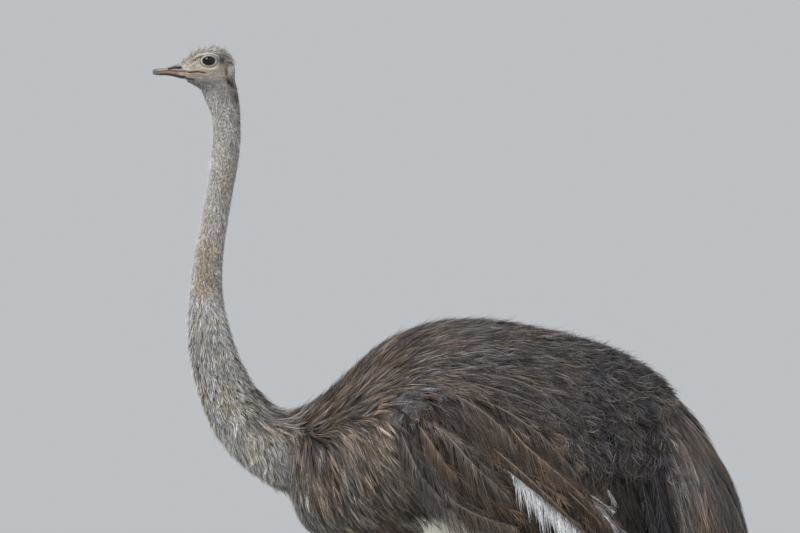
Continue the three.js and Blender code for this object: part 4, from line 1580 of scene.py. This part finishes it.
def wing_coat(side, word):
    """The coat pieces of one wing, one by one."""
    wing = unwrap_along_x(-0.3, 0.6, 0.85)
    below, above = side, -side

    coat = Coat("coat_wing_barbs_" + word, wing)
    roots = scatter(is_wing, 7000, 0.0105, 40, side)
    length = np.interp(heart_reach(roots), [0.08, 0.2, 0.4], [0.035, 0.055, 0.08])
    grow_locks(coat, roots, length, 0.014, 7, 43, bias=0.45 * side, curl=0.15, turn=0.12, strand=0.0015,
               lift=0.0, shade=(0.2, 1.0), hue=0.6)
    yield coat

    coat = Coat("coat_wing_plumes_" + word, wing)
    roots = scatter(is_wing, 300, 0.048, 41, side)
    roots = roots[heart_reach(roots) > PLUMES_FROM]
    length = np.interp(heart_reach(roots), [0.15, 0.25, 0.4, 0.6], [0.10, 0.16, 0.26, 0.24])
    grow_plumes(coat, roots, length, 0.042, 40, 42, bright=0.15, lift=0.003, tone=0.4, shade=(1.1, 0.6))
    lay_plumes(coat, GREY_SHAFTS, side, 0.030, 60, 45, bright=0.0, lift=0.004, tint=WHITE_PLUME * 0.34,
               tone=0.3, hue=0.2, droop=0.5, rough=0.4)
    lay_plumes(coat, WHITE_WISPS, side, 0.010, 44, 50, bright=0.0, lift=0.004, tint=WHITE_PLUME * 0.55,
               tone=0.2, hue=0.1, droop=0.6, shade=(0.7, 1.3), rough=0.4, barb=0.0011, ragged=(0.3, 1.4),
               clump=3, fray=0.4, full=(0.35, 0.8, 0.9, 0.6, 0.25))
    lay_plumes(coat, WHITE_SHAFTS, side, 0.052, 190, 44, bright=0.0, lift=0.005, tint=WHITE_PLUME, tone=0.05,
               hue=0.05, droop=0.55, shade=(1.0, 1.25), hands=((below, 1.0),),
               full=(0.45, 0.75, 0.90, 1.0, 0.7), ragged=(0.45, 1.15), tilt=(0.75, 1.2), clump=7, fray=0.22,
               rough=0.26, barb=0.0017)
    # The main plumes' barbs are lighter near the shaft and darker at their tips, which is painted shade in
    # the gap before the next plume.
    lay_plumes(coat, MAIN_SHAFTS, side, 0.052, 110, 46, bright=1.0, tone=0.12, shade=(1.25, 0.55), droop=0.5,
               shaft=0.0019, hands=((below, 1.0), (above, 0.35)), ragged=(0.6, 1.15), clump=5,
               tilt=(0.5, 0.85))
    lay_plumes(coat, EDGE_SHAFTS, side, 0.030, 110, 49, bright=1.0, lift=0.010, tone=0.12,
               shade=(0.95, 0.45), droop=0.4, shaft=0.0019, hands=((below, 1.0), (above, 0.6)),
               ragged=(0.6, 1.1), clump=5, tilt=(0.45, 0.8))
    yield coat

    # The hem of the wing hangs over the thigh.
    coat = Coat("coat_hem_" + word, wing)
    roots = scatter(on_hem, 330, 0.016, 55, side)
    grow_locks(coat, roots, 0.085, 0.016, 9, 56, curl=0.2, turn=0.15, sink=0.006, lift=0.006, sail=1.0,
               clump=0.5, strand=0.0015, shade=(0.35, 1.2), tone=0.35, hue=0.4, hang=0.8, streak=0.05)
    lay_plumes(coat, HEM_SHAFTS, side, 0.062, 120, 57, bright=0.2, lift=0.010, tone=0.15, shade=(1.0, 0.75),
               droop=0.6, shaft=0.0017, hands=((below, 1.0), (above, 0.3)), ragged=(0.55, 1.2), clump=5,
               tilt=(0.75, 1.15), full=(0.45, 0.8, 1.0, 0.95, 0.7))
    yield coat

    # Loose grey down where the wing leaves the shoulder.
    coat = Coat("coat_shoulder_" + word, wing)
    roots = scatter(on_shoulder, 270, 0.009, 47, side)
    grow_locks(coat, roots, 0.030, 0.020, 9, 48, curl=0.8, turn=0.7, wave=0.3, clump=0.0, lift=0.006,
               sail=1.0, loose=0.006, strand=0.0012, sink=0.006, shade=(0.4, 1.25), tone=0.4, streak=0.0,
               hue=0.6, tint=DOWN_GREY)
    yield coat


def neck_coat():
    """The two coat pieces of the neck, one by one."""
    coat = Coat("coat_neck_low", unwrap_along_z(0.70, 1.25))
    roots = scatter(on_low_neck, 9000, 0.0062, 61)
    ragged = bump(roots[:, 2], 0.84, 0.09)
    high = ramp(roots[:, 2], 0.98, 1.20)[:, None, None]
    grow_locks(coat, roots, 0.030 + 0.018 * ragged, 0.008 + 0.004 * ragged, 5, 62, curl=0.2, turn=0.18,
               sink=0.006, lift=0.002 + 0.006 * ragged, strand=0.0018,
               shade=(0.46 + 0.24 * high, 1.24 - 0.08 * high), tone=0.20, rough=0.30 - 0.12 * high, hue=0.4,
               streak=0.06)
    roots = scatter(on_neck_foot, 560, 0.011, 63)
    grow_locks(coat, roots, 0.060, 0.012, 9, 64, curl=0.2, turn=0.16, sink=0.004, lift=0.008, sail=1.0,
               clump=0.8, strand=0.0018, loose=0.003, shade=(0.25, 1.45), tone=0.36, hue=0.5, hang=0.75)
    roots = scatter(on_fringe, 520, 0.012, 65)
    grow_locks(coat, roots, 0.044, 0.011, 12, 66, curl=0.2, lift=0.008, sail=1.0, clump=0.9, strand=0.0017,
               loose=0.003, shade=(0.25, 1.4), tone=0.36, hue=0.5, hang=0.93)
    yield coat

    coat = Coat("coat_neck_high", unwrap_along_z(1.15, 1.78))
    roots = scatter(on_high_neck, 22000, 0.0036, 71)
    rear = behind_throat(roots, 0.0, 0.03)[:, None, None]
    grow_locks(coat, roots, 0.0090, 0.0036, 6, 72, stations=3, turn=0.30, sink=0.0015, lift=0.0016,
               strand=0.0008, loose=0.0008, tone=0.22, hue=0.2, shade=(0.75 - 0.17 * rear, 1.15),
               rough=0.18 + 0.16 * rear, streak=0.04)
    roots = scatter(on_high_neck, 9000, 0.0045, 73)
    grow_locks(coat, roots, 0.0125, 0.001, 1, 74, stations=3, turn=0.3, sink=0.001, lift=0.0075, sail=1.0,
               strand=0.0006, loose=0.0, tone=0.2, hue=0.1, shade=(0.8, 1.25))
    yield coat


LASHES = 26
LASH_LENGTH = 0.0085
LASH_WIDTH = 0.0006


def add_lashes(coat):
    """Short dark lashes along each upper lid."""
    rng = np.random.default_rng(85)
    around = (np.radians(np.linspace(22, 158, LASHES)) + rng.normal(0, 0.02, LASHES))[:, None]
    share = np.linspace(0, 1, 5)[None, :]
    edge_x, edge_z = LID_HALF[0] * np.cos(around), LID_HALF[1] * np.sin(around)
    for side in (-1, 1):
        length = LASH_LENGTH * rng.uniform(0.8, 1.15, (LASHES, 1)) * (0.6 + 0.4 * np.sin(around))
        x = EYE[0] + edge_x + 0.5 * np.cos(around) * length * share ** 1.5
        z = EYE[2] + edge_z + length * (0.25 * share + 0.55 * share ** 2)
        ball = np.sqrt(EYE_R ** 2 - np.hypot(edge_x, edge_z) ** 2)
        y = EYE[1] + ball + 0.0008 + length * (0.8 * share - 0.25 * share ** 2)
        centre = np.stack([x, side * y, z], -1)
        across, colour = (np.broadcast_to(v, centre.shape) for v in ([1.0, 0, 0], LASH))
        width = LASH_WIDTH * (1 - 0.85 * share) * np.ones((LASHES, 1))
        coat.add(centre, across, width, colour, centre[:, 0], 0, 1)


def off_features(p):
    """Where the head's skin may carry down: off the horn, the lids, the jaw's edge, the gape and the ear."""
    x, y, z = folded(p)
    edge = np.interp(z, SKIN_EDGE_Z, SKIN_EDGE_X) + 0.005 * ramp(z, 1.765, 1.775)
    edge = edge - 0.004 * (y < 0.007) * (z < 1.775)
    on_jaw = (line_distance(p, CHIN_LINE) < 0.0036) & (y > 0.007)
    off_eye = (eye_reach(x, z) > 1.75) | (y <= 0.015)
    off_ear = np.hypot(x - EAR_X, z - EAR_Z) > 0.007
    return (x > edge) & off_eye & (line_distance(p, GAPE_LINE) > 0.006) & ~on_jaw & off_ear


# The lower edge of the crown's bristles, in the side view.
CROWN_X = [-0.69, -0.66, -0.62, -0.57, -0.55]
CROWN_Z = [1.795, 1.8095, 1.825, 1.822, 1.80]


def head_coat():
    """The head's down, with a crown of bristles, fluff over each ear and lashes."""
    coat = Coat("coat_head", unwrap_along_z(1.73, 1.86))
    rng = np.random.default_rng(81)
    p = bare_points[(bare_points[:, 2] > 1.742) & (bare_points[:, 0] < SLENDER_X)]
    x, y, z = folded(p)
    free = off_features(p)
    bare = bump(x, -0.652, 0.032) * within(z, 1.765, 1.815, 0.006)
    cheek = bump(x, -0.608, 0.034) * within(z, 1.772, 1.796, 0.006)
    ridge = near(p, BROW_LINE, 0.0038)
    chance = free * (1 - 0.85 * ramp(bare, 0.25, 0.6)) * (1 - 0.2 * cheek) * (1 - 0.85 * ridge)
    roots = p[rng.random(len(p)) < chance * 0.42]
    grow_locks(coat, roots, 0.0058, 0.0026, 4, 82, stations=3, turn=0.35, sink=0.0006, lift=0.0011, sail=1.0,
               strand=0.0005, loose=0.0004, tone=0.16, hue=0.5, shade=(0.75, 1.05), streak=0.0, rough=0.2,
               field=head_field)
    above = z - np.interp(x, CROWN_X, CROWN_Z)
    chance = free * ramp(above, 0.0, 0.01) * 0.20 * (1 - 0.8 * ridge * ramp(y, 0.008, 0.013))
    crown = p[(rng.random(len(p)) < chance) & (x > CROWN_X[0])]
    brow = bump(crown[:, 0], -0.645, 0.03)
    grow_locks(coat, crown, 0.0125 + 0.006 * brow, 0.002, 2, 83, curl=0.5, turn=0.5, sink=0.0006,
               lift=0.0080 + 0.0050 * brow, sail=1.0, strand=0.0006, loose=0.001, tone=0.18, hue=0.3,
               shade=(0.88, 1.02), streak=0.0, field=head_field)
    fluff = p[(rng.random(len(p)) < 0.25 * bump(patch_reach(x, z), 0, 0.0055)) & (y > 0.012)]
    grow_locks(coat, fluff, 0.010, 0.003, 4, 84, curl=0.6, turn=0.5, sink=0.0005, lift=0.0030, sail=1.0,
               strand=0.0006, loose=0.0008, tone=0.15, hue=0.2, shade=(0.7, 1.3), tint=EAR_PALE,
               field=head_field)
    add_lashes(coat)
    yield coat


def build_coat():
    plumage = coat_material("feathers", 0.7, 0.10)
    down = coat_material("neck_down", 0.85, 0.15)
    for side, word in ((-1, "left"), (1, "right")):
        for pieces in (body_coat(side, word), wing_coat(side, word)):
            for coat in pieces:
                coat.build(plumage, "plumage")
    for pieces in (neck_coat(), head_coat()):
        for coat in pieces:
            coat.build(down, "down")


# ---- Floor, light and camera ----

FLOOR_RADIUS = 9.0
FLOOR_SIDES = 128
SKY = (0.93, 0.96, 1.0, 1)
SKY_STRENGTH = 0.55
# Each light's name, the side it comes from, its softness and its strength.
SUNS = [
    ("key", (-3.2, -3.0, 4.2), 0.4, 2.0),
    ("fill", (3.0, -3.0, 2.0), 1.2, 0.35),
    ("back", (1.0, 4.0, 3.0), 1.0, 0.35)]
# The photograph shows the bird's left side from a little above the back, through a long lens.
VIEW_X = -0.130
VIEW_Z = 1.296
CAMERA_Z = 1.8325
CAMERA_FAR = 20.0
CAMERA_LENS = 360.0
SENSOR_WIDTH = 36
CLIP_END = 200


def build_floor():
    turn = angles(FLOOR_SIDES)
    rim = np.column_stack([np.cos(turn), np.sin(turn), 0 * turn]) * FLOOR_RADIUS
    floor = new_object("floor", rim, [np.arange(FLOOR_SIDES)[None, :]], smooth=False)
    floor.data.materials.append(floor_material())


def aim(obj, way):
    """Turns a lamp or a camera to look along way."""
    obj.rotation_euler = Vector(way).to_track_quat("-Z", "Y").to_euler()
    bpy.context.scene.collection.objects.link(obj)


def build_light():
    world = bpy.data.worlds.new("studio")
    world.use_nodes = True
    background = world.node_tree.nodes["Background"]
    background.inputs["Color"].default_value = SKY
    background.inputs["Strength"].default_value = SKY_STRENGTH
    bpy.context.scene.world = world
    bpy.context.scene.view_settings.view_transform = "Standard"
    for name, place, softness, strength in SUNS:
        light = bpy.data.lights.new(name, "SUN")
        light.angle = softness
        light.energy = strength
        aim(bpy.data.objects.new(name, light), -Vector(place))


def build_camera():
    camera = bpy.data.cameras.new("camera")
    camera.lens = CAMERA_LENS
    camera.sensor_width = SENSOR_WIDTH
    camera.clip_end = CLIP_END
    obj = bpy.data.objects.new("camera", camera)
    obj.location = VIEW_X, -CAMERA_FAR, CAMERA_Z
    aim(obj, Vector((VIEW_X, 0, VIEW_Z)) - Vector((VIEW_X, -CAMERA_FAR, CAMERA_Z)))
    bpy.context.scene.camera = obj


build_coat()
build_floor()
build_light()
build_camera()
skin.data.materials.append(skin_material())
for pieces, look in ((eyes, eye_material()), (bills, bill_material()), (claws, claw_material())):
    for piece in pieces:
        piece.data.materials.append(look)
for piece, node in zip(eyes + bills + claws, EYES + BILL + CLAWS):
    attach(piece, "root")
    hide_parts(node)
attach(skin, "root")
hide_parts(*FLESH)
